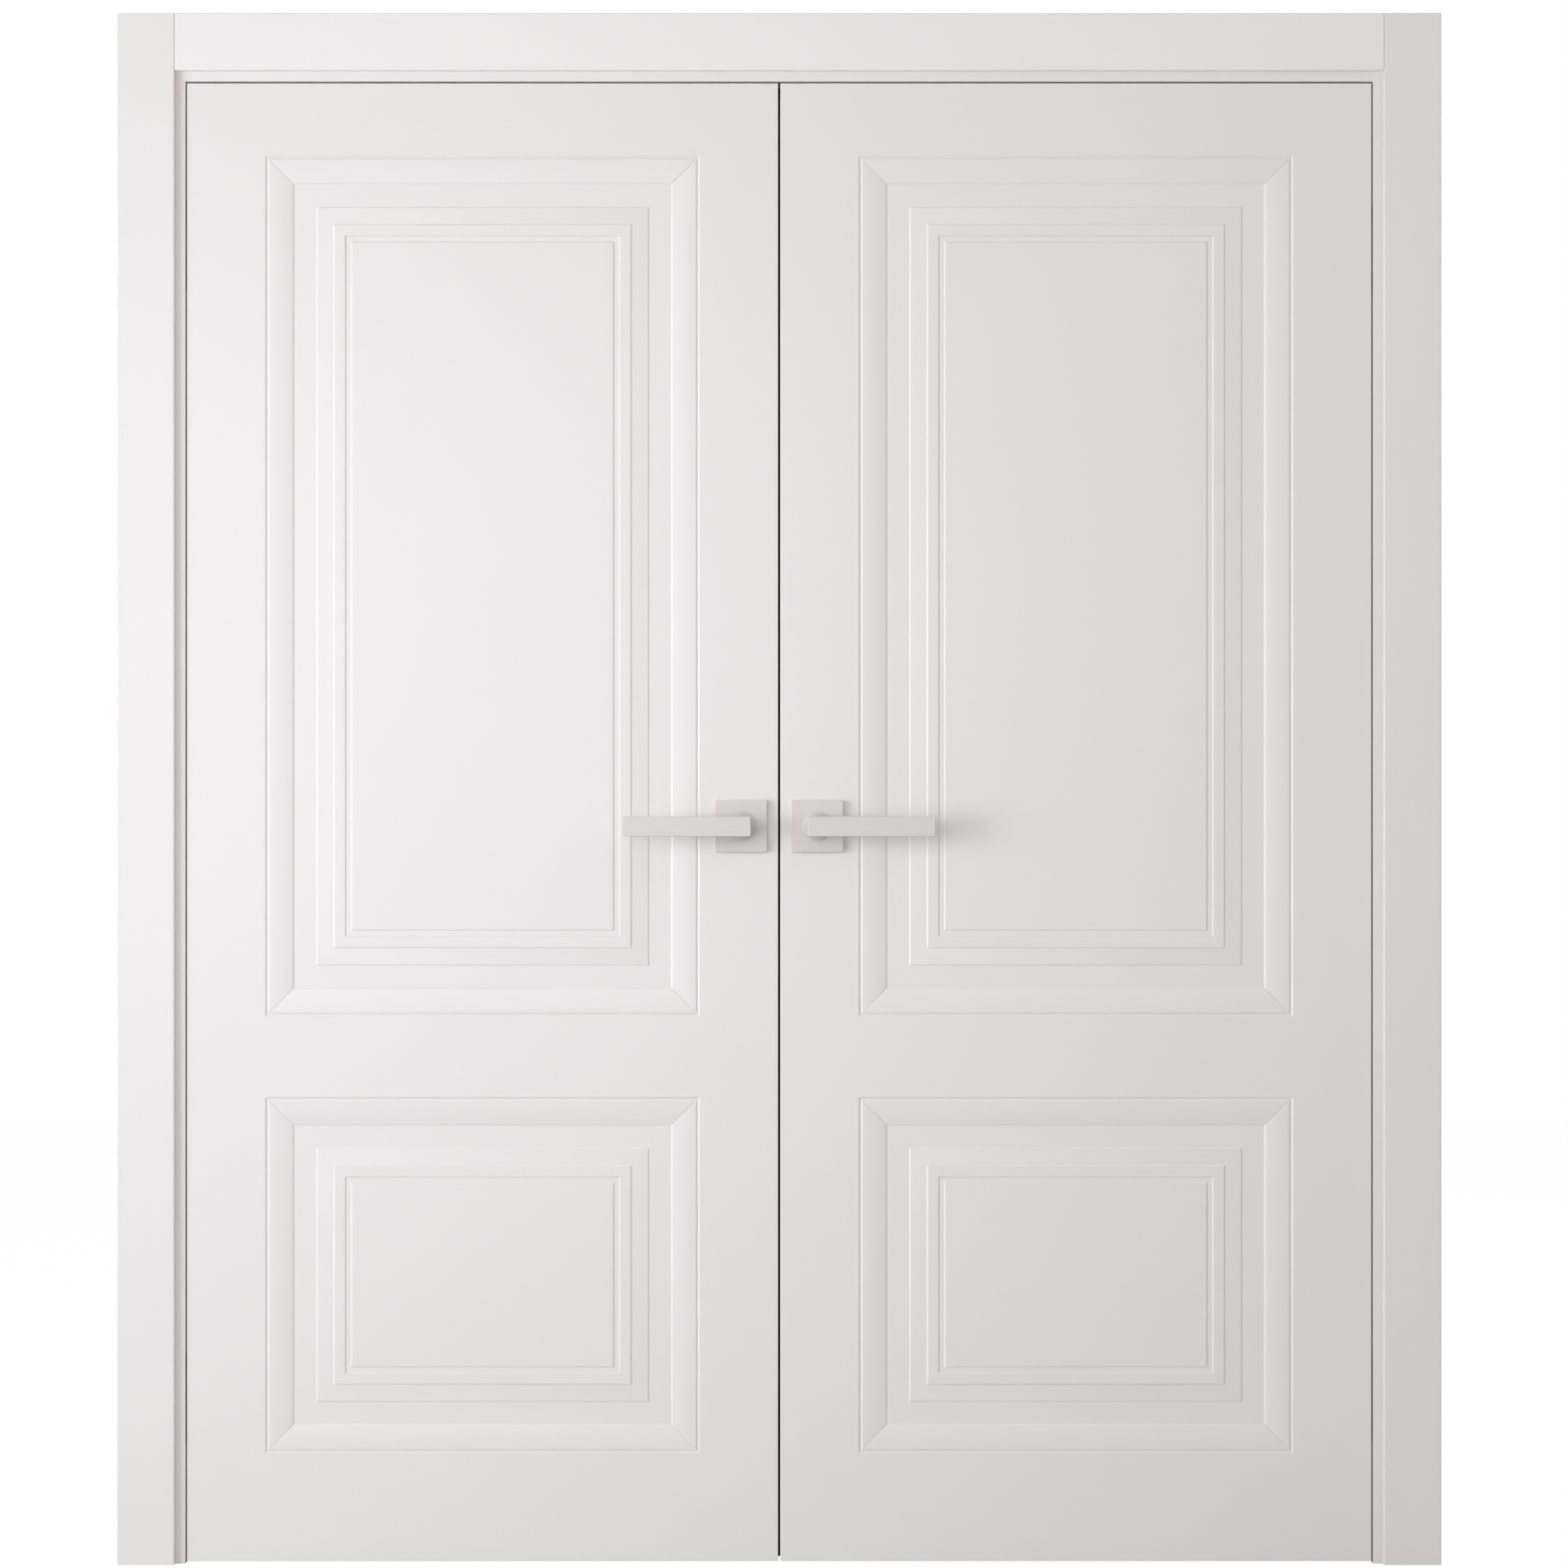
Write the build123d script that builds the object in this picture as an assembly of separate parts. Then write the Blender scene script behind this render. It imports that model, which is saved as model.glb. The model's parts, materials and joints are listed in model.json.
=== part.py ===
from build123d import *
import os
from math import cos, radians

# Interior double door: two framed and panelled leaves in a rebated frame with architraves
# on both faces. Millimetres. X runs across the doorway, Z up from the floor, and Y through
# the wall, with the face that the leaves open towards at -Y. The origin is on the floor in
# the middle of the doorway and of the leaf's thickness. Each part is drawn for the right
# leaf (+X), and the left one is its mirror image.

# Leaves
leaf_width = 800.0
leaf_height = 2000.0
leaf_thickness = 40.0
skin_thickness = 8.0
leaf_edge_radius = 1.0
stile_width = 100.0
top_rail_depth = 92.0
lock_rail_depth = 103.0
bottom_rail_depth = 140.0
spindle_hole_diameter = 20.0

# Gaps round the closed leaves
hinge_gap = 2.0
head_gap = 2.2
meeting_gap = 3.0
floor_gap = 3.4

# Routed panels: margins of the leaf's face round the two mouldings
panel_side_margin = 106.0
panel_top_margin = 98.0
panel_middle_margin = 109.0
panel_bottom_margin = 146.0
lower_panel_height = 482.0

# Moulding section, from its outer edge inward
quirk_width = 5.0
quirk_depth = 1.5
quirk_lip_drop = 0.2
band_width = 32.5
band_drop = 3.3
step_width = 1.5
step_drop = 1.0
flat_width = 29.5
rise_width = 1.8
rise_height = 0.8
slope_width = 21.7
slope_height = 1.5
lip_width = 2.0
lip_height = 0.8
border_width = 14.5
bead_width = 9.0
bead_depth = 1.0
bead_flank = 0.8

# Frame
jamb_thickness = 40.0
jamb_depth = 80.0
stop_height = 12.0
stop_gap = 3.0
jamb_edge_radius = 1.0
tongue_groove_inset = 26.0
tongue_groove_width = 5.0
tongue_groove_depth = 15.0
seal_groove_inset = 4.0
seal_groove_width = 3.0
seal_groove_depth = 6.0

# Architraves
architrave_width = 77.5
architrave_thickness = 10.0
architrave_reveal = 13.5
architrave_edge_radius = 1.8
architrave_joint = 0.4
relief_margin = 8.0
relief_depth = 1.5
tongue_clearance = 0.25
tongue_end_gap = 1.0

# Seals: a hollow bulb in the rebate and a lip in the left leaf's meeting edge
seal_bulb_width = 7.6
seal_wall = 0.9
seal_leaf_gap = 0.3
seal_stem_width = 1.6
seal_barb = 0.6
lip_groove_inset = 3.6
lip_root_width = 4.0
lip_tip_width = 1.6
lip_clearance = 0.1

# Holes that fix the side jambs to the wall
fixing_hole_diameter = 6.5
fixing_head_diameter = 13.0
fixing_end_distance = 120.0

# Concealed hinges
hinge_end_distance = 220.0
arm_radius = 22.0
arm_thickness = 4.0
arm_height = 60.0
arm_half_angle = 66.0
arm_window_height = 14.0
arm_window_width = 20.0
cup_wall = 2.2
cup_flange_length = 128.0
cup_flange_width = 24.0
cup_flange_thickness = 3.0
cup_body_length = 84.0
cup_screw_inset = 11.0

# Lever handles
handle_height = 998.0
backset = 50.0
rose_size = 70.0
rose_thickness = 9.0
rose_wall = 1.6
rose_corner_radius = 2.5
rose_edge_radius = 0.8
rose_screw_spacing = 50.0
lever_reach = 158.0
lever_heel = 13.5
lever_height = 26.5
lever_thickness = 12.0
lever_projection = 60.0
lever_edge_radius = 1.2
lever_corner_radius = 2.5
neck_foot_diameter = 40.0
neck_foot_height = 1.5
neck_flare_height = 16.0
neck_diameter = 25.0
journal_diameter = 18.0
spindle_size = 8.0
spindle_depth = 36.0

# Magnetic latch in the right leaf and its strike in the left one
edge_plate_thickness = 2.5
latch_plate_length = 170.0
latch_plate_width = 20.0
latch_case_depth = 72.0
latch_case_height = 90.0
latch_case_width = 16.0
latch_case_wall = 1.5
latch_bolt_width = 9.0
latch_bolt_height = 30.0
latch_bolt_length = 22.0
latch_bolt_recess = 0.5
latch_tail_length = 12.0
latch_tail_width = 3.0
hub_diameter = 22.0
hub_journal_diameter = 16.0
hub_arm_length = 19.0
hub_arm_width = 6.0
strike_length = 100.0
strike_box_depth = 14.0
strike_box_wall = 1.5
strike_clearance = 1.0

# Flush bolts in the left leaf
flush_plate_length = 160.0
flush_plate_width = 20.0
flush_body_length = 128.0
flush_body_width = 16.0
flush_body_depth = 24.0
flush_end_distance = 120.0
flush_channel_length = 74.0
flush_channel_width = 10.6
flush_channel_depth = 19.0
flush_slide_length = 40.0
flush_slide_lip = 1.0
flush_rod_diameter = 8.0
flush_rod_recess = 1.0
flush_grip_grooves = 5
flush_grip_pitch = 5.0
flush_grip_depth = 1.0
keeper_length = 52.0
keeper_socket_depth = 22.0

# Countersunk screws
screw_diameter = 3.5
screw_head_diameter = 7.0
rose_screw_length = 16.0
hinge_screw_length = 25.0
plate_screw_length = 10.0
corner_screw_length = 60.0
corner_screw_inset = 24.0

# Clearances
seat_clearance = 0.15
running_clearance = 0.3
screw_clearance = 0.05

# Planes and edges that follow
opening_half = leaf_width + hinge_gap + meeting_gap / 2
face_front = -leaf_thickness / 2
face_back = leaf_thickness / 2
stop_face = face_back + stop_gap
jamb_back = face_front + jamb_depth
leaf_bottom = floor_gap
leaf_top = leaf_bottom + leaf_height
rebate_top = leaf_top + head_gap
meeting_edge = meeting_gap / 2
hinge_edge = meeting_edge + leaf_width
leaf_middle = meeting_edge + leaf_width / 2
core_half = face_back - skin_thickness
frame_top = rebate_top + architrave_reveal + architrave_width
hinge_axis_x = opening_half - hinge_gap / 2
hinge_heights = (leaf_bottom + hinge_end_distance, leaf_top - hinge_end_distance)
spindle_x = meeting_edge + backset
upper_panel_height = (
    leaf_height - panel_top_margin - panel_middle_margin - lower_panel_height - panel_bottom_margin
)
moulding_panels = (
    (leaf_bottom + panel_bottom_margin, lower_panel_height),
    (leaf_top - panel_top_margin - upper_panel_height, upper_panel_height),
)
field_drop = quirk_lip_drop + band_drop + step_drop - rise_height - slope_height - lip_height
arm_inner = arm_radius - arm_thickness / 2
arm_outer = arm_radius + arm_thickness / 2
slot_end_angle = arm_half_angle + 1.5
cup_depth = arm_outer + running_clearance + cup_wall - hinge_gap / 2
cup_back = arm_outer + running_clearance + cup_wall
cup_front = arm_inner * cos(radians(slot_end_angle)) - running_clearance - cup_wall
cup_width = cup_back - cup_front
cup_middle = (cup_back + cup_front) / 2
base_thickness = rose_thickness - rose_wall - running_clearance
base_size = rose_size - 2 * (rose_wall + running_clearance)
lever_front = face_front - lever_projection
lever_back = lever_front + lever_thickness
neck_foot = face_front - rose_thickness - running_clearance


def outline(points, *extra):
    """Face inside a polyline, closed by the extra edges or by its last side"""
    ends = [] if extra else [points[0]]
    return make_face(Polyline(*points, *ends) + list(extra))


def mirrored(part):
    """The same part on the other side of the doorway"""
    return mirror(part, about=Plane.YZ)


def turned(part):
    """The same part on the other face of the leaf"""
    return mirror(part, about=Plane.XZ)


def upright(section, bottom, top):
    """Section drawn from the rebate corner, outwards and back, run up the right jamb"""
    plane = Plane(origin=(opening_half, 0, bottom), x_dir=(1, 0, 0), z_dir=(0, 0, 1))
    return extrude(plane * section, amount=top - bottom)


def lintel(section, half_length):
    """The same section run along the head"""
    plane = Plane(origin=(half_length, 0, rebate_top), x_dir=(0, 0, 1), z_dir=(-1, 0, 0))
    return extrude(plane * section, amount=2 * half_length)


def mitred_upright(section, reach):
    """Right-hand run whose upper end is mitred, reach being its furthest point outwards"""
    mitre = Plane(origin=(opening_half, 0, rebate_top), z_dir=(1, 0, -1))
    return split(upright(section, 0, rebate_top + reach), bisect_by=mitre, keep=Keep.TOP)


def mitred_lintel(section, reach):
    """Head run with a mitre at each end"""
    run = lintel(section, opening_half + reach)
    for side in (1, -1):
        mitre = Plane(origin=(side * opening_half, 0, rebate_top), z_dir=(-side, 0, 1))
        run = split(run, bisect_by=mitre, keep=Keep.TOP)
    return run


def slab(x0, x1, y0, y1, z0, z1):
    """Block between two corners"""
    middle = Pos((x0 + x1) / 2, (y0 + y1) / 2, (z0 + z1) / 2)
    return middle * Box(x1 - x0, y1 - y0, z1 - z0)


def bore(x, z, diameter, y0, y1):
    """Round hole along Y"""
    middle = Pos(x, (y0 + y1) / 2, z)
    return middle * Rot(90, 0, 0) * Cylinder(diameter / 2, abs(y1 - y0))


def screw(length, clearance=0.0):
    """Countersunk screw down from the origin; with a clearance, the hole for it"""
    head = screw_head_diameter / 2 + clearance
    shank = screw_diameter / 2 + clearance
    tip = length + clearance
    section = outline([(0, 0), (head, 0), (shank, shank - head), (shank, shank - tip), (0, -tip)])
    return revolve(Plane.XZ * section, Axis.Z)


def placed(part, x, y, z, outward):
    """Part drawn along Z, moved to a point with its Z axis outward"""
    return Plane(origin=(x, y, z), z_dir=outward) * part


def edge_plate(length, width, thickness):
    """Round-ended plate let into an edge, drawn flat with its face at z = 0"""
    return extrude(SlotOverall(length, width, rotation=90), amount=-thickness)


def edge_frame(x, y, z):
    """Plane on the meeting edge: local X runs along Y, local Y up, local Z out of the leaf"""
    return Plane(origin=(x, y, z), x_dir=(0, -1, 0), z_dir=(-1, 0, 0))


# Frame


def jamb_section():
    """Rebated jamb with grooves for both architraves and the seal"""
    body = outline(
        [
            (0, face_front),
            (jamb_thickness, face_front),
            (jamb_thickness, jamb_back),
            (-stop_height, jamb_back),
            (-stop_height, stop_face),
            (0, stop_face),
        ]
    )
    eased = [(0, face_front), (-stop_height, stop_face), (-stop_height, jamb_back)]
    corners = [body.vertices().sort_by_distance(Vector(*point, 0))[0] for point in eased]
    body = fillet(corners, jamb_edge_radius)
    groove_middle = tongue_groove_inset + tongue_groove_width / 2
    for face, inward in ((face_front, 1), (jamb_back, -1)):
        middle = Pos(groove_middle, face + inward * tongue_groove_depth / 2)
        body -= middle * Rectangle(tongue_groove_width, tongue_groove_depth)
    seal_middle = Pos(
        -(seal_groove_inset + seal_groove_width / 2), stop_face + seal_groove_depth / 2
    )
    return body - seal_middle * Rectangle(seal_groove_width, seal_groove_depth)


def fixing_heights():
    """Four evenly spaced holes up each side jamb"""
    span = leaf_height - 2 * fixing_end_distance
    return [leaf_bottom + fixing_end_distance + span * step / 3 for step in range(4)]


def fixing_hole(z):
    """Countersunk hole through the rebate of the right jamb"""
    taper = (fixing_head_diameter - fixing_hole_diameter) / 2
    shaft = Cylinder(fixing_hole_diameter / 2, 3 * jamb_thickness)
    cone = Cone(fixing_hole_diameter / 2, fixing_head_diameter / 2, taper)
    return placed(shaft + Pos(0, 0, -taper / 2) * cone, opening_half, 0, z, (-1, 0, 0))


def corner_screws(clearance=0.0):
    """Two screws through the right jamb into the head"""
    x = opening_half + jamb_thickness
    z = rebate_top + corner_screw_inset
    quarter = jamb_depth / 4
    return [
        placed(screw(corner_screw_length, clearance), x, y, z, (1, 0, 0))
        for y in (face_front + quarter, jamb_back - quarter)
    ]


def side_jamb():
    """Right jamb, mitred at the top, with its fixing holes and hinge mortises"""
    jamb = mitred_upright(jamb_section(), jamb_thickness)
    jamb -= [fixing_hole(z) for z in fixing_heights()]
    jamb -= corner_screws(screw_clearance)
    for z in hinge_heights:
        place = Pos(hinge_axis_x, face_front, z)
        jamb -= [place * cutter for cutter in cup_mortise()]
    return jamb


def head_jamb():
    """Head jamb with the socket for the top flush bolt"""
    head = mitred_lintel(jamb_section(), jamb_thickness)
    head -= corner_screws(screw_clearance)
    head -= [mirrored(cutter) for cutter in corner_screws(screw_clearance)]
    seat = edge_plate(
        keeper_length + 2 * seat_clearance,
        flush_plate_width + 2 * seat_clearance,
        edge_plate_thickness,
    )
    socket = Pos(0, 0, -keeper_socket_depth / 2) * Cylinder(rod_hole() / 2, keeper_socket_depth)
    head -= [keeper_plane() * cutter for cutter in (seat, socket)]
    return head - keeper_screws(screw_clearance)


def seal_stem():
    """Barbed stem of a seal, drawn from the mouth of its groove inwards"""
    depth = seal_groove_depth - tongue_end_gap
    stem = Pos(0, depth / 2) * Rectangle(seal_stem_width, depth)
    barb = outline(
        [
            (-seal_stem_width / 2 - seal_barb, depth / 2),
            (seal_stem_width / 2 + seal_barb, depth / 2),
            (seal_stem_width / 2, depth),
            (-seal_stem_width / 2, depth),
        ]
    )
    return stem + barb


def seal_section():
    """Hollow bulb on a barbed stem"""
    middle = -(seal_groove_inset + seal_groove_width / 2)
    front = face_back + seal_leaf_gap
    half = seal_bulb_width / 2
    height = stop_face - front
    bulb = outline(
        [(half, 0), (-half, 0)],
        ThreePointArc((-half, 0), (0, -height), (half, 0)),
    )
    inner = half - 1.6 * seal_wall
    hollow = outline(
        [(inner, -seal_wall / 2), (-inner, -seal_wall / 2)],
        ThreePointArc((-inner, -seal_wall / 2), (0, seal_wall - height), (inner, -seal_wall / 2)),
    )
    return Pos(middle, stop_face) * (bulb - hollow + seal_stem())


def seal():
    """One length of seal up the right jamb, across the head and down the left one"""
    section = seal_section()
    side = mitred_upright(section, jamb_thickness)
    return mitred_lintel(section, jamb_thickness) + side + mirrored(side)


def architrave_plate():
    """Flat of the front architrave, with eased edges and a hollow back"""
    inner = architrave_reveal
    outer = inner + architrave_width
    front = face_front - architrave_thickness
    plate = outline([(inner, front), (outer, front), (outer, face_front), (inner, face_front)])
    plate = fillet(plate.vertices().group_by(Axis.Y)[0], architrave_edge_radius)
    hollow_width = outer - jamb_thickness - 2 * relief_margin
    hollow = Pos(jamb_thickness + relief_margin + hollow_width / 2, face_front)
    return plate - hollow * Rectangle(hollow_width, 2 * relief_depth)


def tongue():
    """Tongue that slides in the jamb's groove"""
    width = tongue_groove_width - 2 * tongue_clearance
    depth = tongue_groove_depth - tongue_end_gap
    middle = Pos(tongue_groove_inset + tongue_groove_width / 2, face_front + depth / 2)
    return middle * Rectangle(width, depth)


def side_architrave():
    """Front architrave of the right jamb, over the end of the head one"""
    return upright(architrave_plate(), 0, frame_top) + upright(
        tongue(), 0, rebate_top + tongue_groove_inset - tongue_end_gap
    )


def head_architrave():
    """Front architrave of the head, butted between the side ones"""
    half_length = opening_half + architrave_reveal - architrave_joint
    return lintel(architrave_plate(), half_length) + lintel(tongue(), half_length)


def to_back(architrave):
    """Front architrave turned round to the back of the wall"""
    middle = Plane(origin=(0, (face_front + jamb_back) / 2, 0), x_dir=(1, 0, 0), z_dir=(0, 1, 0))
    return mirror(architrave, about=middle)


# Lip seal, drawn in the right leaf's meeting edge and carried over to the left one


def lip_groove():
    """Groove for the lip seal, near the leaf's back face"""
    middle = face_back - lip_groove_inset
    return slab(
        meeting_edge,
        meeting_edge + seal_groove_depth,
        middle - seal_groove_width / 2,
        middle + seal_groove_width / 2,
        leaf_bottom,
        leaf_top,
    )


def meeting_seal():
    """Lip that reaches across the meeting gap, on a barbed stem"""
    reach = meeting_gap - lip_clearance
    root = lip_root_width / 2
    tip = lip_tip_width / 2
    corners = [(tip, tip - reach), (root, 0), (-root, 0), (-tip, tip - reach)]
    lip = outline(corners, ThreePointArc(corners[-1], (0, -reach), corners[0]))
    mouth = (meeting_edge, face_back - lip_groove_inset, leaf_top)
    plane = Plane(origin=mouth, x_dir=(0, 1, 0), z_dir=(0, 0, -1))
    return extrude(plane * (lip + seal_stem()), amount=leaf_height)


# Concealed hinges, drawn about the hinge axis at the origin


def ring_sector(inner, outer, height, start, end):
    """Part of a ring between two angles, measured from +Y towards +X"""
    middle = (inner + outer) / 2
    section = Plane.XZ * (Pos(middle, 0) * Rectangle(outer - inner, height))
    return Rot(0, 0, 90 - end) * revolve(section, Axis.Z, revolution_arc=end - start)


def hinge_arm():
    """Curved arm that slides in both cups, with two windows"""
    arm = ring_sector(arm_inner, arm_outer, arm_height, -arm_half_angle, arm_half_angle)
    window = Box(arm_window_width, 2 * arm_thickness, arm_window_height)
    return arm - [Pos(0, arm_radius, side * arm_height / 4) * window for side in (1, -1)]


def cup_frame():
    """Plane on the face of the jamb's cup: local Z points out of the jamb"""
    return Plane(origin=(hinge_gap / 2, cup_middle, 0), x_dir=(0, -1, 0), z_dir=(-1, 0, 0))


def cup_screw_places():
    """Centres of the two screws of a cup"""
    reach = cup_flange_length / 2 - cup_screw_inset
    return [Pos(0, side * reach, 0) for side in (1, -1)]


def hinge_cup():
    """Cup in the jamb: round-ended flange and a body with the arm's curved slot"""
    flange = edge_plate(cup_flange_length, cup_flange_width, cup_flange_thickness)
    body = Pos(0, 0, -cup_depth / 2) * Box(cup_width, cup_body_length, cup_depth)
    body = fillet(body.edges().filter_by(Axis.Z), cup_wall)
    holes = [place * screw(hinge_screw_length, screw_clearance) for place in cup_screw_places()]
    slot = ring_sector(
        arm_inner - running_clearance,
        arm_outer + running_clearance,
        arm_height + 2 * running_clearance,
        0,
        slot_end_angle,
    )
    return cup_frame() * (flange + body - holes) - slot


def cup_screws(clearance=0.0):
    """The two screws of a jamb cup"""
    return [
        cup_frame() * place * screw(hinge_screw_length, clearance) for place in cup_screw_places()
    ]


def cup_mortise():
    """Cutters for the jamb: flange seat, body pocket and screw holes"""
    flange = edge_plate(
        cup_flange_length + 2 * seat_clearance,
        cup_flange_width + 2 * seat_clearance,
        cup_flange_thickness,
    )
    pocket_depth = cup_depth + seat_clearance
    pocket = Pos(0, 0, -pocket_depth / 2) * Box(
        cup_width + 2 * seat_clearance, cup_body_length + 2 * seat_clearance, pocket_depth
    )
    pocket = fillet(pocket.edges().filter_by(Axis.Z), cup_wall)
    return [cup_frame() * flange, cup_frame() * pocket] + cup_screws(screw_clearance)


def at_hinge(part, z):
    """Hinge part in the right jamb, or its mirror image across the axis in the leaf"""
    return Pos(hinge_axis_x, face_front, z) * part


# Leaves


def moulding_cutter(bottom, height):
    """Everything that is routed away inside one moulding of the front skin"""
    width = leaf_width - 2 * panel_side_margin
    widths = (step_width, flat_width, rise_width, slope_width, lip_width, border_width)
    drops = (step_drop, 0, -rise_height, -slope_height, -lip_height, 0)
    inward = quirk_width + band_width
    depth = quirk_lip_drop + band_drop
    points = [(inward, depth)]
    for run, drop in zip(widths, drops):
        inward += run
        depth += drop
        points.append((inward, depth))
    points += [
        (inward + bead_flank, depth + bead_depth),
        (inward + bead_width - bead_flank, depth + bead_depth),
        (inward + bead_width, depth),
        (inward + bead_width, -quirk_depth),
        (0, -quirk_depth),
        (0, 0),
        (quirk_width / 2, quirk_depth),
        (quirk_width, quirk_lip_drop),
    ]
    band = TangentArc(points[-1], points[0], tangent=(1, 0))
    profile = outline(points, band)

    start = (leaf_middle, face_front, bottom)
    corners = [
        (leaf_middle + x * width / 2, face_front, bottom + z * height)
        for x, z in ((1, 0), (1, 1), (-1, 1), (-1, 0))
    ]
    path = Polyline(start, *corners, start)
    section = Plane(origin=start, x_dir=(0, 0, 1), z_dir=(-1, 0, 0)) * profile
    ring = sweep(section, path=path, transition=Transition.RIGHT)

    field_inset = inward + bead_width / 2
    field = slab(
        leaf_middle - width / 2 + field_inset,
        leaf_middle + width / 2 - field_inset,
        face_front - quirk_depth,
        face_front + field_drop,
        bottom + field_inset,
        bottom + height - field_inset,
    )
    return [ring, field]


def skin():
    """Front skin of the right leaf, with its two routed panels"""
    board = slab(meeting_edge, hinge_edge, face_front, -core_half, leaf_bottom, leaf_top)
    board = fillet(board.faces().sort_by(Axis.Y)[0].edges(), leaf_edge_radius)
    for bottom, height in moulding_panels:
        board -= moulding_cutter(bottom, height)
    board -= bore(spindle_x, handle_height, spindle_hole_diameter, face_front, -core_half)
    board -= rose_screws(screw_clearance)
    return board - leaf_cup_cutters()


def leaf_cup_cutters():
    """Mortises of both cups in the right leaf's hinge edge"""
    cutters = [mirrored(cutter) for cutter in cup_mortise()]
    return [at_hinge(cutter, z) for z in hinge_heights for cutter in cutters]


def hinge_stile():
    """Stile under the hinges"""
    stile = slab(hinge_edge - stile_width, hinge_edge, -core_half, core_half, leaf_bottom, leaf_top)
    return stile - leaf_cup_cutters()


def meeting_stile(cutters):
    """Stile at the meeting edge, less the mortises of its hardware"""
    far = meeting_edge + stile_width
    stile = slab(meeting_edge, far, -core_half, core_half, leaf_bottom, leaf_top)
    stile -= bore(spindle_x, handle_height, spindle_hole_diameter, -core_half, core_half)
    stile -= rose_screws(screw_clearance)
    stile -= [turned(cutter) for cutter in rose_screws(screw_clearance)]
    return stile - cutters


def rail_heights():
    """Lower and upper edge of each rail"""
    middle = leaf_bottom + panel_bottom_margin + lower_panel_height + panel_middle_margin / 2
    return [
        (leaf_bottom, leaf_bottom + bottom_rail_depth),
        (middle - lock_rail_depth / 2, middle + lock_rail_depth / 2),
        (leaf_top - top_rail_depth, leaf_top),
    ]


def between_stiles(bottom, top):
    """Block from stile to stile"""
    left = meeting_edge + stile_width
    right = hinge_edge - stile_width
    return slab(left, right, -core_half, core_half, bottom, top)


def rails():
    """Bottom, lock and top rail"""
    return [between_stiles(bottom, top) for bottom, top in rail_heights()]


def core_panels():
    """Infill boards between the rails"""
    bottom, middle, top = rail_heights()
    return [between_stiles(bottom[1], middle[0]), between_stiles(middle[1], top[0])]


# Lever handles, on the front face of the right leaf


def rose_outline(size, radius):
    """Square with rounded corners, centred on the spindle, on the leaf's front face"""
    plane = Plane(origin=(spindle_x, face_front, handle_height), x_dir=(1, 0, 0), z_dir=(0, -1, 0))
    return plane * RectangleRounded(size, size, radius)


def rose_screws(clearance=0.0):
    """Four short screws through the corners of a front rose base"""
    reach = rose_screw_spacing / 2
    return [
        placed(
            screw(rose_screw_length, clearance),
            spindle_x + dx,
            face_front - base_thickness,
            handle_height + dz,
            (0, -1, 0),
        )
        for dx in (-reach, reach)
        for dz in (-reach, reach)
    ]


def rose_base():
    """Plate screwed to the leaf, with the bearing for the lever's journal"""
    plate = extrude(rose_outline(base_size, rose_corner_radius), amount=base_thickness)
    bearing = journal_diameter + 2 * running_clearance
    plate -= bore(spindle_x, handle_height, bearing, face_front, face_front - base_thickness)
    return plate - rose_screws(screw_clearance)


def rose_cover():
    """Square cover clipped over the base, with the hole for the journal"""
    cover = extrude(rose_outline(rose_size, rose_corner_radius), amount=rose_thickness)
    cover = fillet(cover.faces().sort_by(Axis.Y)[0].edges(), rose_edge_radius)
    cavity = rose_size - 2 * rose_wall
    cover -= extrude(
        rose_outline(cavity, rose_corner_radius), amount=rose_thickness - rose_wall
    )
    hole = journal_diameter + 2 * running_clearance
    return cover - bore(
        spindle_x, handle_height, hole, face_front - rose_thickness, face_front
    )


def lever_neck():
    """Neck that flares from the bar to a round foot over the rose, with its journal"""
    foot = neck_foot_diameter / 2
    neck = neck_diameter / 2
    foot_top = neck_foot - neck_foot_height
    flare_top = foot_top - neck_flare_height
    journal_end = face_front - running_clearance
    flare = TangentArc((neck, flare_top), (foot, foot_top), tangent=(0, 1))
    section = outline(
        [
            (foot, foot_top),
            (foot, neck_foot),
            (journal_diameter / 2, neck_foot),
            (journal_diameter / 2, journal_end),
            (0, journal_end),
            (0, lever_front + lever_thickness / 2),
            (neck, lever_front + lever_thickness / 2),
            (neck, flare_top),
        ],
        flare,
    )
    return Pos(spindle_x, 0, handle_height) * revolve(section, Axis.Y)


def lever():
    """Lever on the front face: flat bar, neck and square socket"""
    bar = slab(
        spindle_x - lever_heel,
        spindle_x + lever_reach,
        lever_front,
        lever_back,
        handle_height - lever_height / 2,
        handle_height + lever_height / 2,
    )
    bar = fillet(bar.edges().filter_by(Axis.Y), lever_corner_radius)
    ends = bar.faces().filter_by(Axis.Y)
    bar = fillet(ends.edges(), lever_edge_radius)
    socket = spindle_size + 2 * seat_clearance
    socket_end = face_front - spindle_depth - seat_clearance
    return (
        bar
        + lever_neck()
        - slab(
            spindle_x - socket / 2,
            spindle_x + socket / 2,
            socket_end,
            face_front,
            handle_height - socket / 2,
            handle_height + socket / 2,
        )
    )


def spindle():
    """Square spindle from lever to lever"""
    reach = leaf_thickness / 2 + spindle_depth
    bar = Box(spindle_size, 2 * reach, spindle_size)
    return Pos(spindle_x, 0, handle_height) * bar


# Hardware in the meeting edge


def plate_screw_places(length):
    """Centres of the two screws at the ends of an edge plate"""
    reach = length / 2 - screw_head_diameter
    return [Pos(0, side * reach, 0) for side in (1, -1)]


def plate_screws(plane, length, clearance=0.0):
    """Two screws through an edge plate"""
    return [
        plane * place * screw(plate_screw_length, clearance)
        for place in plate_screw_places(length)
    ]


def plate_seat(length, width):
    """Recess for an edge plate"""
    return edge_plate(
        length + 2 * seat_clearance, width + 2 * seat_clearance, edge_plate_thickness
    )


def latch_plane():
    """Middle of the latch plate's face"""
    return edge_frame(meeting_edge, 0, handle_height)


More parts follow.
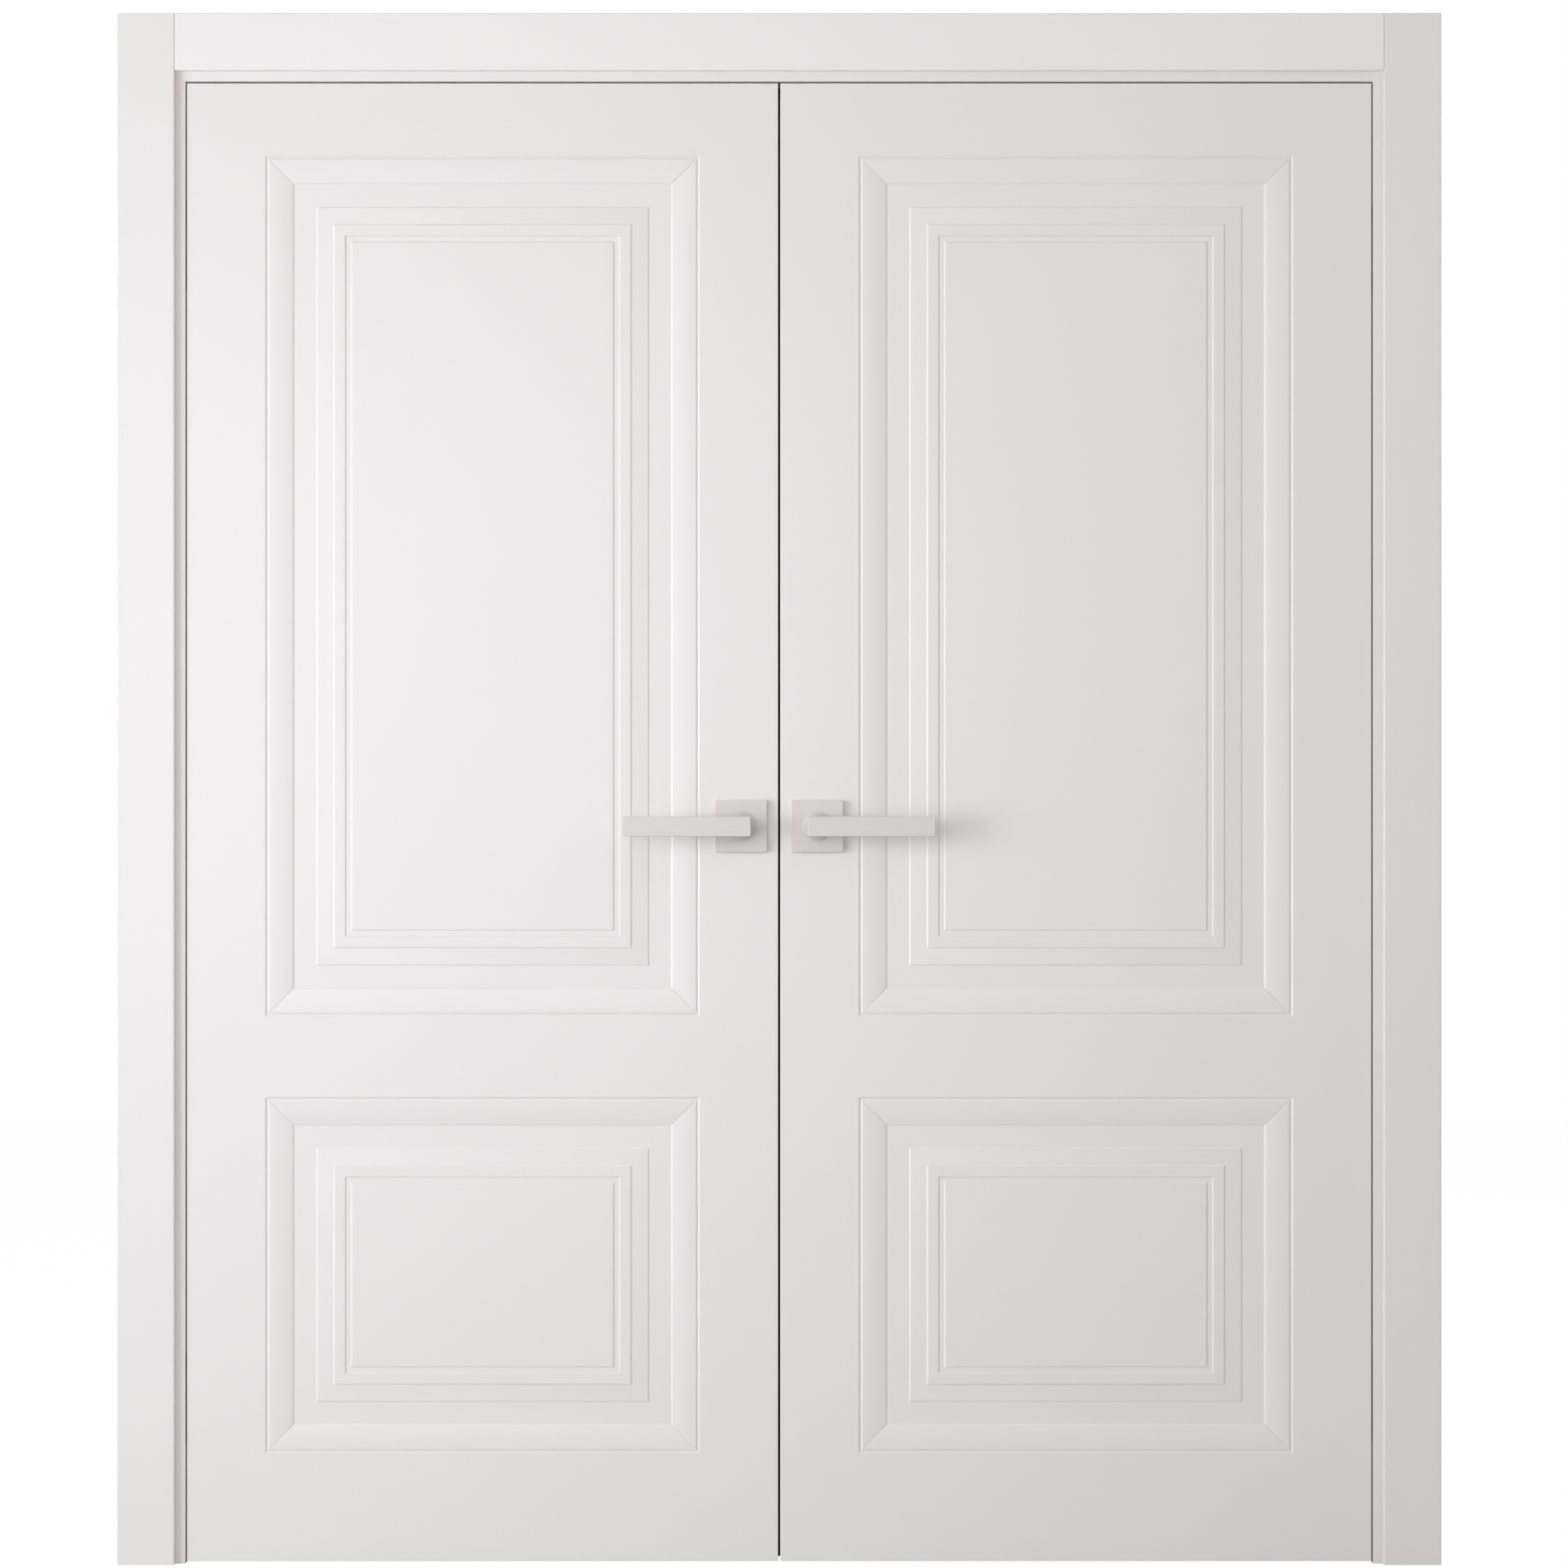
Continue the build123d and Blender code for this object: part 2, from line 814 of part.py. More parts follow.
def deep_block(width, height, near, far):
    """Block behind an edge plate, between two depths"""
    return Pos(0, 0, -(near + far) / 2) * Box(width, height, far - near)


def latch_window():
    """Opening for the latch bolt, a running clearance wider than it all round"""
    return (latch_bolt_width + 2 * running_clearance, latch_bolt_height + 2 * running_clearance)


def latch_plate():
    """Round-ended plate over the case, with the bolt's opening"""
    plate = edge_plate(latch_plate_length, latch_plate_width, edge_plate_thickness)
    plate -= deep_block(*latch_window(), 0, edge_plate_thickness)
    return latch_plane() * plate - plate_screws(
        latch_plane(), latch_plate_length, screw_clearance
    )


def latch_case():
    """Closed case with the bolt's guide and a bearing in each side for the hub"""
    wall = latch_case_wall
    back = edge_plate_thickness + latch_case_depth
    case = deep_block(latch_case_width, latch_case_height, edge_plate_thickness, back)
    case = fillet(case.edges().filter_by(Axis.X), 2 * wall)
    case -= deep_block(
        latch_case_width - 2 * wall, latch_case_height - 2 * wall, edge_plate_thickness + wall,
        back - wall,
    )
    guide_end = latch_bolt_recess + latch_bolt_length - wall
    guide_height = latch_window()[1] + 2 * wall
    case += deep_block(
        latch_case_width - 2 * wall, guide_height, edge_plate_thickness + wall, guide_end
    )
    case -= deep_block(*latch_window(), edge_plate_thickness, guide_end)
    journal = hub_journal_diameter + 2 * running_clearance
    half = latch_case_width / 2
    return latch_plane() * case - bore(spindle_x, handle_height, journal, -half, half)


def latch_bolt():
    """Magnetic bolt with its guide tail, drawn in"""
    far = latch_bolt_recess + latch_bolt_length
    nose = deep_block(latch_bolt_width, latch_bolt_height, latch_bolt_recess, far)
    nose = chamfer(nose.faces().sort_by(Axis.Z)[-1].edges(), latch_bolt_recess)
    tail = deep_block(latch_tail_width, latch_bolt_height / 2, far, far + latch_tail_length)
    return latch_plane() * (nose + tail)


def latch_hub():
    """Follower turned by the spindle, with the arm that draws the bolt in"""
    half = latch_case_width / 2
    thickness = latch_case_width - 2 * latch_case_wall - 2 * running_clearance
    hub = Rot(90, 0, 0) * Cylinder(hub_diameter / 2, thickness)
    hub += Rot(90, 0, 0) * Cylinder(hub_journal_diameter / 2, 2 * half)
    arm_middle = Pos(0, 0, hub_arm_length / 2)
    hub += arm_middle * Box(hub_arm_width, thickness, hub_arm_length)
    socket = spindle_size + 2 * seat_clearance
    hub -= Box(socket, 4 * half, socket)
    return Pos(spindle_x, 0, handle_height) * hub


def latch_mortise():
    """Cutters for the right leaf's meeting stile"""
    far = edge_plate_thickness + latch_case_depth + seat_clearance
    width = latch_case_width + 2 * seat_clearance
    height = latch_case_height + 2 * seat_clearance
    cutters = [plate_seat(latch_plate_length, latch_plate_width), deep_block(width, height, 0, far)]
    return [latch_plane() * cutter for cutter in cutters] + plate_screws(
        latch_plane(), latch_plate_length, screw_clearance
    )


def strike_window():
    """Opening that takes the thrown latch bolt"""
    return (latch_bolt_width + 2 * strike_clearance, latch_bolt_height + 2 * strike_clearance)


def strike():
    """Strike plate and its box in one pressing"""
    width, height = strike_window()
    wall = strike_box_wall
    plate = edge_plate(strike_length, latch_plate_width, edge_plate_thickness)
    plate += deep_block(width + 2 * wall, height + 2 * wall, 0, strike_box_depth + wall)
    plate -= deep_block(width, height, 0, strike_box_depth)
    return latch_plane() * plate - plate_screws(latch_plane(), strike_length, screw_clearance)


def strike_mortise():
    """Cutters for the left leaf's meeting stile, in its mirror image"""
    width, height = (size + 2 * (strike_box_wall + seat_clearance) for size in strike_window())
    far = strike_box_depth + strike_box_wall + seat_clearance
    cutters = [plate_seat(strike_length, latch_plate_width), deep_block(width, height, 0, far)]
    return [latch_plane() * cutter for cutter in cutters] + plate_screws(
        latch_plane(), strike_length, screw_clearance
    )


# Flush bolts, drawn for the top of the leaf with local Y towards that end


def rod_hole():
    """Hole round a flush bolt's rod"""
    return flush_rod_diameter + 2 * running_clearance


def rod_depth():
    """Depth of the rod's axis behind the meeting edge"""
    return flush_channel_depth - flush_rod_diameter / 2 - running_clearance


def flush_plane(top):
    """Middle of a flush bolt's plate, in the top or the bottom of the leaf"""
    if top:
        return edge_frame(meeting_edge, 0, leaf_top - flush_end_distance)
    middle = (meeting_edge, 0, leaf_bottom + flush_end_distance)
    return Plane(origin=middle, x_dir=(0, 1, 0), z_dir=(-1, 0, 0))


def flush_rod_bore(start, end):
    """Bore for the rod between two distances along the bolt"""
    middle = Pos(0, (start + end) / 2, -rod_depth())
    return middle * Rot(90, 0, 0) * Cylinder(rod_hole() / 2, end - start)


def flush_housing(top):
    """Plate and body with the channel of the slide"""
    housing = edge_plate(flush_plate_length, flush_plate_width, edge_plate_thickness)
    housing += deep_block(flush_body_width, flush_body_length, 0, flush_body_depth)
    housing -= deep_block(flush_channel_width, flush_channel_length, 0, flush_channel_depth)
    housing -= flush_rod_bore(0, flush_body_length)
    plane = flush_plane(top)
    return plane * housing - plate_screws(plane, flush_plate_length, screw_clearance)


def flush_rod(top):
    """Slide with a grooved grip, and the rod from it to the end of the leaf"""
    start = running_clearance - flush_channel_length / 2
    middle = start + flush_slide_length / 2
    far = flush_channel_depth - running_clearance
    width = flush_channel_width - 2 * running_clearance
    block = Pos(0, middle, 0) * deep_block(width, flush_slide_length, flush_slide_lip, far)
    groove = Box(width, flush_grip_pitch / 2, 2 * flush_grip_depth)
    for step in range(flush_grip_grooves):
        offset = (step - (flush_grip_grooves - 1) / 2) * flush_grip_pitch
        block -= Pos(0, middle + offset, -flush_slide_lip) * groove
    rod_start = start + flush_slide_length - flush_rod_diameter
    rod_end = flush_end_distance - flush_rod_recess
    rod = Pos(0, (rod_start + rod_end) / 2, -rod_depth()) * Rot(90, 0, 0)
    rod *= Cylinder(flush_rod_diameter / 2, rod_end - rod_start)
    rod = chamfer(rod.edges().sort_by(Axis.Y)[-1], flush_rod_recess)
    return flush_plane(top) * (block + rod)


def flush_mortise(top):
    """Cutters for the left leaf's meeting stile, in its mirror image"""
    clear = 2 * seat_clearance
    body = deep_block(
        flush_body_width + clear, flush_body_length + clear, 0, flush_body_depth + seat_clearance
    )
    cutters = [plate_seat(flush_plate_length, flush_plate_width), body]
    cutters.append(flush_rod_bore(0, flush_end_distance))
    plane = flush_plane(top)
    return [plane * cutter for cutter in cutters] + plate_screws(
        plane, flush_plate_length, screw_clearance
    )


def keeper_plane():
    """Middle of the keeper's face under the head jamb, above the left leaf's rod"""
    middle = (-meeting_edge - rod_depth(), 0, rebate_top)
    return Plane(origin=middle, x_dir=(0, 1, 0), z_dir=(0, 0, -1))


def keeper_screws(clearance=0.0):
    """Two screws through the keeper"""
    return plate_screws(keeper_plane(), keeper_length, clearance)


def keeper():
    """Plate round the top flush bolt's socket"""
    plate = edge_plate(keeper_length, flush_plate_width, edge_plate_thickness)
    plate -= Cylinder(rod_hole() / 2, 4 * edge_plate_thickness)
    return keeper_plane() * plate - keeper_screws(screw_clearance)


# Every sub-part, by its name


def frame_parts():
    """Frame, seal and architraves"""
    jamb = side_jamb()
    side = side_architrave()
    head = head_architrave()
    frame_screws = corner_screws() + [
        at_hinge(part, z) for z in hinge_heights for part in cup_screws()
    ]
    return {
        "jamb_right": jamb,
        "jamb_left": mirrored(jamb),
        "jamb_head": head_jamb(),
        "rebate_seal": seal(),
        "architrave_front_right": side,
        "architrave_front_left": mirrored(side),
        "architrave_front_head": head,
        "architrave_back_right": to_back(side),
        "architrave_back_left": to_back(mirrored(side)),
        "architrave_back_head": to_back(head),
        "bolt_keeper": keeper(),
        "frame_screws": frame_screws + [mirrored(part) for part in frame_screws] + keeper_screws(),
    }


def hinge_parts():
    """Both cups and the arm of each hinge"""
    parts = {}
    cup = hinge_cup()
    arm = hinge_arm()
    for level, z in zip(("bottom", "top"), hinge_heights):
        pieces = {
            "hinge_jamb_cup": at_hinge(cup, z),
            "hinge_leaf_cup": at_hinge(mirrored(cup), z),
            "hinge_arm": at_hinge(arm, z),
        }
        for name, piece in pieces.items():
            parts[f"{name}_right_{level}"] = piece
            parts[f"{name}_left_{level}"] = mirrored(piece)
    return parts


def leaf_parts(side, edge_cutters, edge_screws):
    """Skins, inner framing and screws of one leaf"""
    front = skin()
    hinge_screws = [at_hinge(mirrored(part), z) for z in hinge_heights for part in cup_screws()]
    rose = rose_screws()
    parts = {
        "skin_front": front,
        "skin_back": turned(front),
        "hinge_stile": hinge_stile(),
        "meeting_stile": meeting_stile(edge_cutters),
        "rails": rails(),
        "core": core_panels(),
        "screws": hinge_screws + rose + [turned(part) for part in rose] + edge_screws,
    }
    return {f"leaf_{side}_{name}": part for name, part in parts.items()}


def handle_parts(side):
    """Levers, spindle and roses of one leaf"""
    front_lever = lever()
    cover = rose_cover()
    base = rose_base()
    return {
        f"lever_{side}_front": front_lever,
        f"lever_{side}_back": turned(front_lever),
        f"spindle_{side}": spindle(),
        f"rose_{side}_front": cover,
        f"rose_{side}_back": turned(cover),
        f"rose_bases_{side}": [base, turned(base)],
    }


def latch_parts():
    """Latch of the right leaf"""
    return {
        "latch_case": latch_case(),
        "latch_plate": latch_plate(),
        "latch_bolt": latch_bolt(),
        "latch_hub": latch_hub(),
    }


def left_edge_parts():
    """Strike and flush bolts of the left leaf, in their mirror image"""
    return {
        "latch_strike": strike(),
        "flush_bolt_top_housing": flush_housing(True),
        "flush_bolt_top_rod": flush_rod(True),
        "flush_bolt_bottom_housing": flush_housing(False),
        "flush_bolt_bottom_rod": flush_rod(False),
    }


def left_side(parts):
    """Parts of the right side carried over to the left"""
    result = {}
    for name, part in parts.items():
        pieces = part if isinstance(part, list) else [part]
        result[name] = [mirrored(piece) for piece in pieces]
    return result


def door_parts():
    """All sub-parts of the door"""
    right_screws = plate_screws(latch_plane(), latch_plate_length)
    left_screws = plate_screws(latch_plane(), strike_length)
    left_cutters = strike_mortise()
    for top in (True, False):
        left_screws += plate_screws(flush_plane(top), flush_plate_length)
        left_cutters += flush_mortise(top)
    left_leaf = leaf_parts("left", left_cutters, left_screws)
    left_leaf["leaf_left_skin_back"] -= lip_groove()
    left_leaf["meeting_seal"] = meeting_seal()
    return {
        **frame_parts(),
        **hinge_parts(),
        **leaf_parts("right", latch_mortise(), right_screws),
        **left_side(left_leaf),
        **latch_parts(),
        **left_side(left_edge_parts()),
        **handle_parts("right"),
        **left_side(handle_parts("left")),
    }


os.makedirs("parts", exist_ok=True)
for part_name, part in door_parts().items():
    pieces = part if isinstance(part, list) else [part]
    solids = [solid for piece in pieces for solid in piece.solids()]
    shape = solids[0] if len(solids) == 1 else Compound(children=solids)
    export_step(shape, f"parts/{part_name}.step")
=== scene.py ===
"""Interior double door: finishes, finely shaped pieces, studio light and camera."""

import json
import logging
import math
from collections.abc import Callable, Iterator
from contextlib import contextmanager
from dataclasses import dataclass
from enum import Enum

import bmesh
import bpy
from mathutils import Matrix, Vector


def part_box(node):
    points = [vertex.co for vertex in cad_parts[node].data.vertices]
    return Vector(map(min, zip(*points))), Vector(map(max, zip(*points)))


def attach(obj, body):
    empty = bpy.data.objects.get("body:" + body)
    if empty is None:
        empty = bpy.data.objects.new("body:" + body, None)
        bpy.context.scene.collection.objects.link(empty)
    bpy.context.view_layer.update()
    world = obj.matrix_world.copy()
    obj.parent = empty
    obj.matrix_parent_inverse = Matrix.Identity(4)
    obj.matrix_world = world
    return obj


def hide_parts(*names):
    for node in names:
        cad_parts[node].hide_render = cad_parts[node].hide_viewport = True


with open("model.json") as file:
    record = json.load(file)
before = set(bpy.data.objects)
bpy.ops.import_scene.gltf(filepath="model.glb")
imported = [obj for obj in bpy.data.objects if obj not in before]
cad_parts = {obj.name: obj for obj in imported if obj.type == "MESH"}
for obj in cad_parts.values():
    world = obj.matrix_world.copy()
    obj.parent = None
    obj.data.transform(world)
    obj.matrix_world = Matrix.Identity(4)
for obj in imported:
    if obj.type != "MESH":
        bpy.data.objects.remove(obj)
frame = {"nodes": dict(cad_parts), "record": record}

LOG = logging.getLogger("double_door")
MM = 0.001
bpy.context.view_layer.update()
NEAR = 1e-5
SAME_WAY = 0.99
PARALLEL = 0.999
LEAF_FACE = -20 * MM

Color = tuple[float, float, float]
Point = tuple[float, float, float]
Step = tuple[float, float]
Socket = bpy.types.NodeSocket


class Leaf(Enum):
    """The two leaves, with the side of the doorway that each hangs on."""

    LEFT = -1
    RIGHT = 1

    @property
    def word(self) -> str:
        """Name of the side as the nodes write it."""
        return self.name.lower()


class Graph:
    """A material's node tree with short ways to add and join nodes."""

    def __init__(self, name: str) -> None:
        """Make an empty material.

        Args:
            name: Name of the material.
        """
        self.material = bpy.data.materials.new(name)
        self.material.use_nodes = True
        self.tree = self.material.node_tree
        self.tree.nodes.clear()
        self.output = self.add("ShaderNodeOutputMaterial")

    def add(self, kind: str, **values: object) -> bpy.types.Node:
        """Add a node and set its plain input values.

        Args:
            kind: Blender's type name of the node.
            values: Input names, with underscores for spaces, and their values.

        Returns:
            The new node.
        """
        node = self.tree.nodes.new(kind)
        for key, value in values.items():
            node.inputs[key.replace("_", " ")].default_value = value
        return node

    def join(self, source: Socket, target: Socket) -> None:
        """Link an output socket to an input socket."""
        self.tree.links.new(source, target)

    def place(self) -> Socket:
        """Object coordinates, in metres."""
        return self.add("ShaderNodeTexCoord").outputs["Object"]

    def noise(self, scale: float, detail: float, stretch: Point = (1, 1, 1)) -> Socket:
        """Noise on Object coordinates.

        Args:
            scale: Noise scale, per metre.
            detail: Number of finer octaves.
            stretch: Scale of each axis before the noise.

        Returns:
            The noise's factor socket.
        """
        mapping = self.add("ShaderNodeMapping", Scale=stretch)
        self.join(self.place(), mapping.inputs["Vector"])
        texture = self.add("ShaderNodeTexNoise", Scale=scale, Detail=detail, Roughness=0.55)
        self.join(mapping.outputs["Vector"], texture.inputs["Vector"])
        return texture.outputs["Fac"]

    def ramp(
        self, factor: Socket, low: Color, high: Color, start: float = 0.3, end: float = 0.7
    ) -> Socket:
        """Colour ramp between two colours.

        Args:
            factor: Socket that drives the ramp.
            low: Linear colour at and below start.
            high: Linear colour at and above end.
            start: Factor of the low colour.
            end: Factor of the high colour.

        Returns:
            The ramp's colour socket.
        """
        node = self.add("ShaderNodeValToRGB")
        for stop, place, color in zip(node.color_ramp.elements, (start, end), (low, high)):
            stop.position = place
            stop.color = (*color, 1)
        self.join(factor, node.inputs["Fac"])
        return node.outputs["Color"]

    def spread(self, factor: Socket, low: float, high: float) -> Socket:
        """Map a factor of 0 to 1 onto a range.

        Args:
            factor: Socket to map.
            low: Value at 0.
            high: Value at 1.

        Returns:
            The mapped value's socket.
        """
        node = self.add("ShaderNodeMapRange", To_Min=low, To_Max=high)
        self.join(factor, node.inputs["Value"])
        return node.outputs["Result"]

    def bump(self, height: Socket, distance: float, before: Socket | None = None) -> Socket:
        """Bump from a height socket.

        Args:
            height: Socket with a height of 0 to 1.
            distance: Depth of the relief, in metres.
            before: Normal socket of an earlier bump, if any.

        Returns:
            The bent normal's socket.
        """
        node = self.add("ShaderNodeBump", Strength=1.0, Distance=distance)
        self.join(height, node.inputs["Height"])
        if before is not None:
            self.join(before, node.inputs["Normal"])
        return node.outputs["Normal"]


def shade_pair(color: Color, spread: float) -> tuple[Color, Color]:
    """Two colours a little darker and lighter than one.

    Args:
        color: Linear colour.
        spread: Share by which each differs.

    Returns:
        The darker and the lighter colour.
    """
    return tuple(c * (1 - spread) for c in color), tuple(min(1, c * (1 + spread)) for c in color)


@dataclass(frozen=True)
class Enamel:
    """Sprayed satin enamel with a faint orange peel."""

    name: str
    color: Color
    roughness: float = 0.42
    satin_scale: float = 60.0
    satin_range: float = 0.04
    mottling: float = 0.006
    mottling_scale: float = 3.0
    peel_scale: float = 420.0
    peel_depth: float = 0.00002
    wave_scale: float = 26.0
    wave_depth: float = 0.00005

    def build(self) -> bpy.types.Material:
        """Make the material.

        Returns:
            The finished material.
        """
        graph = Graph(self.name)
        shader = graph.add("ShaderNodeBsdfPrincipled", IOR=1.48)
        cloud = graph.noise(self.mottling_scale, detail=3.0)
        tone = graph.ramp(cloud, *shade_pair(self.color, self.mottling))
        graph.join(tone, shader.inputs["Base Color"])
        low, high = self.roughness - self.satin_range, self.roughness + self.satin_range
        satin = graph.spread(graph.noise(self.satin_scale, detail=4.0), low, high)
        graph.join(satin, shader.inputs["Roughness"])
        wave = graph.bump(graph.noise(self.wave_scale, detail=1.0), self.wave_depth)
        peel = graph.bump(graph.noise(self.peel_scale, detail=2.0), self.peel_depth, wave)
        graph.join(peel, shader.inputs["Normal"])
        graph.join(shader.outputs["BSDF"], graph.output.inputs["Surface"])
        return graph.material


@dataclass(frozen=True)
class SatinMetal:
    """Metal brushed along one axis, bare or under a matt lacquer."""

    name: str
    color: Color
    roughness: float = 0.36
    metallic: float = 1.0
    grain: Point = (40.0, 900.0, 900.0)
    grain_depth: float = 0.000004
    mottling: float = 0.02
    polish_range: float = 0.05

    def build(self) -> bpy.types.Material:
        """Make the material.

        Returns:
            The finished material.
        """
        graph = Graph(self.name)
        shader = graph.add("ShaderNodeBsdfPrincipled", Metallic=self.metallic)
        grain = graph.noise(1.0, detail=3.0, stretch=self.grain)
        tone = graph.ramp(grain, *shade_pair(self.color, self.mottling))
        graph.join(tone, shader.inputs["Base Color"])
        low, high = self.roughness - self.polish_range, self.roughness + self.polish_range
        polish = graph.spread(grain, low, high)
        graph.join(polish, shader.inputs["Roughness"])
        graph.join(graph.bump(grain, self.grain_depth), shader.inputs["Normal"])
        graph.join(shader.outputs["BSDF"], graph.output.inputs["Surface"])
        return graph.material


@dataclass(frozen=True)
class SoftPlastic:
    """Matt rubber or moulded plastic with a fine even texture."""

    name: str
    color: Color
    roughness: float = 0.7
    mottling: float = 0.03
    mottling_scale: float = 40.0
    texture_scale: float = 900.0
    texture_depth: float = 0.00003

    def build(self) -> bpy.types.Material:
        """Make the material.

        Returns:
            The finished material.
        """
        graph = Graph(self.name)
        shader = graph.add("ShaderNodeBsdfPrincipled", IOR=1.5, Roughness=self.roughness)
        cloud = graph.noise(self.mottling_scale, detail=3.0)
        tone = graph.ramp(cloud, *shade_pair(self.color, self.mottling))
        graph.join(tone, shader.inputs["Base Color"])
        texture = graph.bump(graph.noise(self.texture_scale, detail=2.0), self.texture_depth)
        graph.join(texture, shader.inputs["Normal"])
        graph.join(shader.outputs["BSDF"], graph.output.inputs["Surface"])
        return graph.material


@dataclass(frozen=True)
class ParticleBoard:
    """Raw particle board of the leaf's core."""

    name: str
    color: Color
    roughness: float = 0.85
    contrast: float = 0.3
    chip_scale: float = 260.0
    chip_depth: float = 0.0002
    chip_shape: Point = (1.0, 1.0, 0.5)

    def build(self) -> bpy.types.Material:
        """Make the material.

        Returns:
            The finished material.
        """
        graph = Graph(self.name)
        shader = graph.add("ShaderNodeBsdfPrincipled", Roughness=self.roughness)
        chips = graph.noise(self.chip_scale, detail=6.0, stretch=self.chip_shape)
        tone = graph.ramp(chips, *shade_pair(self.color, self.contrast))
        graph.join(tone, shader.inputs["Base Color"])
        graph.join(graph.bump(chips, self.chip_depth), shader.inputs["Normal"])
        graph.join(shader.outputs["BSDF"], graph.output.inputs["Surface"])
        return graph.material


WHITE = (0.857, 0.808, 0.809)
# Lighter copy of WHITE for the head architrave: painted light, standing in for the brighter light
# that falls on the head. The real paint is the same white.
HEAD_PAINTED_LIGHT_WHITE = (0.925, 0.875, 0.878)
FINISHES = {
    "leaf_enamel": Enamel("leaf_enamel", WHITE),
    "frame_enamel": Enamel("frame_enamel", WHITE, wave_depth=0.00003),
    "head_enamel": Enamel("head_enamel", HEAD_PAINTED_LIGHT_WHITE, wave_depth=0.00003),
    "leaf_timber": Enamel("edge_enamel", WHITE, peel_depth=0.00003),
    "core_board": ParticleBoard("core_board", (0.50, 0.36, 0.22)),
    # Both seal rubbers are dark. This is partly the rubber's own colour and partly painted shade,
    # kept dark so the narrow gaps around and between the leaves render as shaded.
    "seal_rubber": SoftPlastic("seal_rubber", (0.24, 0.235, 0.23), roughness=0.62),
    "lip_rubber": SoftPlastic("lip_rubber", (0.03, 0.03, 0.03), roughness=0.6),
    "handle_finish": SatinMetal(
        "satin_nickel", (0.685, 0.628, 0.625), roughness=0.56, metallic=0.25
    ),
    "base_plastic": SoftPlastic("base_plastic", (0.05, 0.05, 0.055), roughness=0.5),
    "hinge_metal": SatinMetal("hinge_nickel", (0.60, 0.585, 0.57), grain=(900.0, 900.0, 40.0)),
    "lock_steel": SatinMetal("lock_steel", (0.58, 0.57, 0.56), grain=(900.0, 900.0, 40.0)),
    "screw_steel": SatinMetal(
        "screw_zinc", (0.66, 0.65, 0.62), roughness=0.28, grain=(600.0, 600.0, 600.0)
    ),
}


class Dressing:
    """Gives each CAD node the finish of its slot in the record."""

    def __init__(self) -> None:
        """Build every finish once."""
        self.materials = {slot: finish.build() for slot, finish in FINISHES.items()}
        self.slots = {row["node"]: row["material_slot"] for row in frame["record"]["subparts"]}
        # The head architrave takes the lighter copy of the frame enamel, which is painted light.
        self.special = {"architrave_front_head": "head_enamel"}

    def dress(self) -> None:
        """Assign each node's material."""
        for name, node in frame["nodes"].items():
            node.data.materials.clear()
            finish = self.special.get(name, self.slots[name])
            node.data.materials.append(self.materials[finish])
            LOG.info("dressed %s in %s", name, finish)


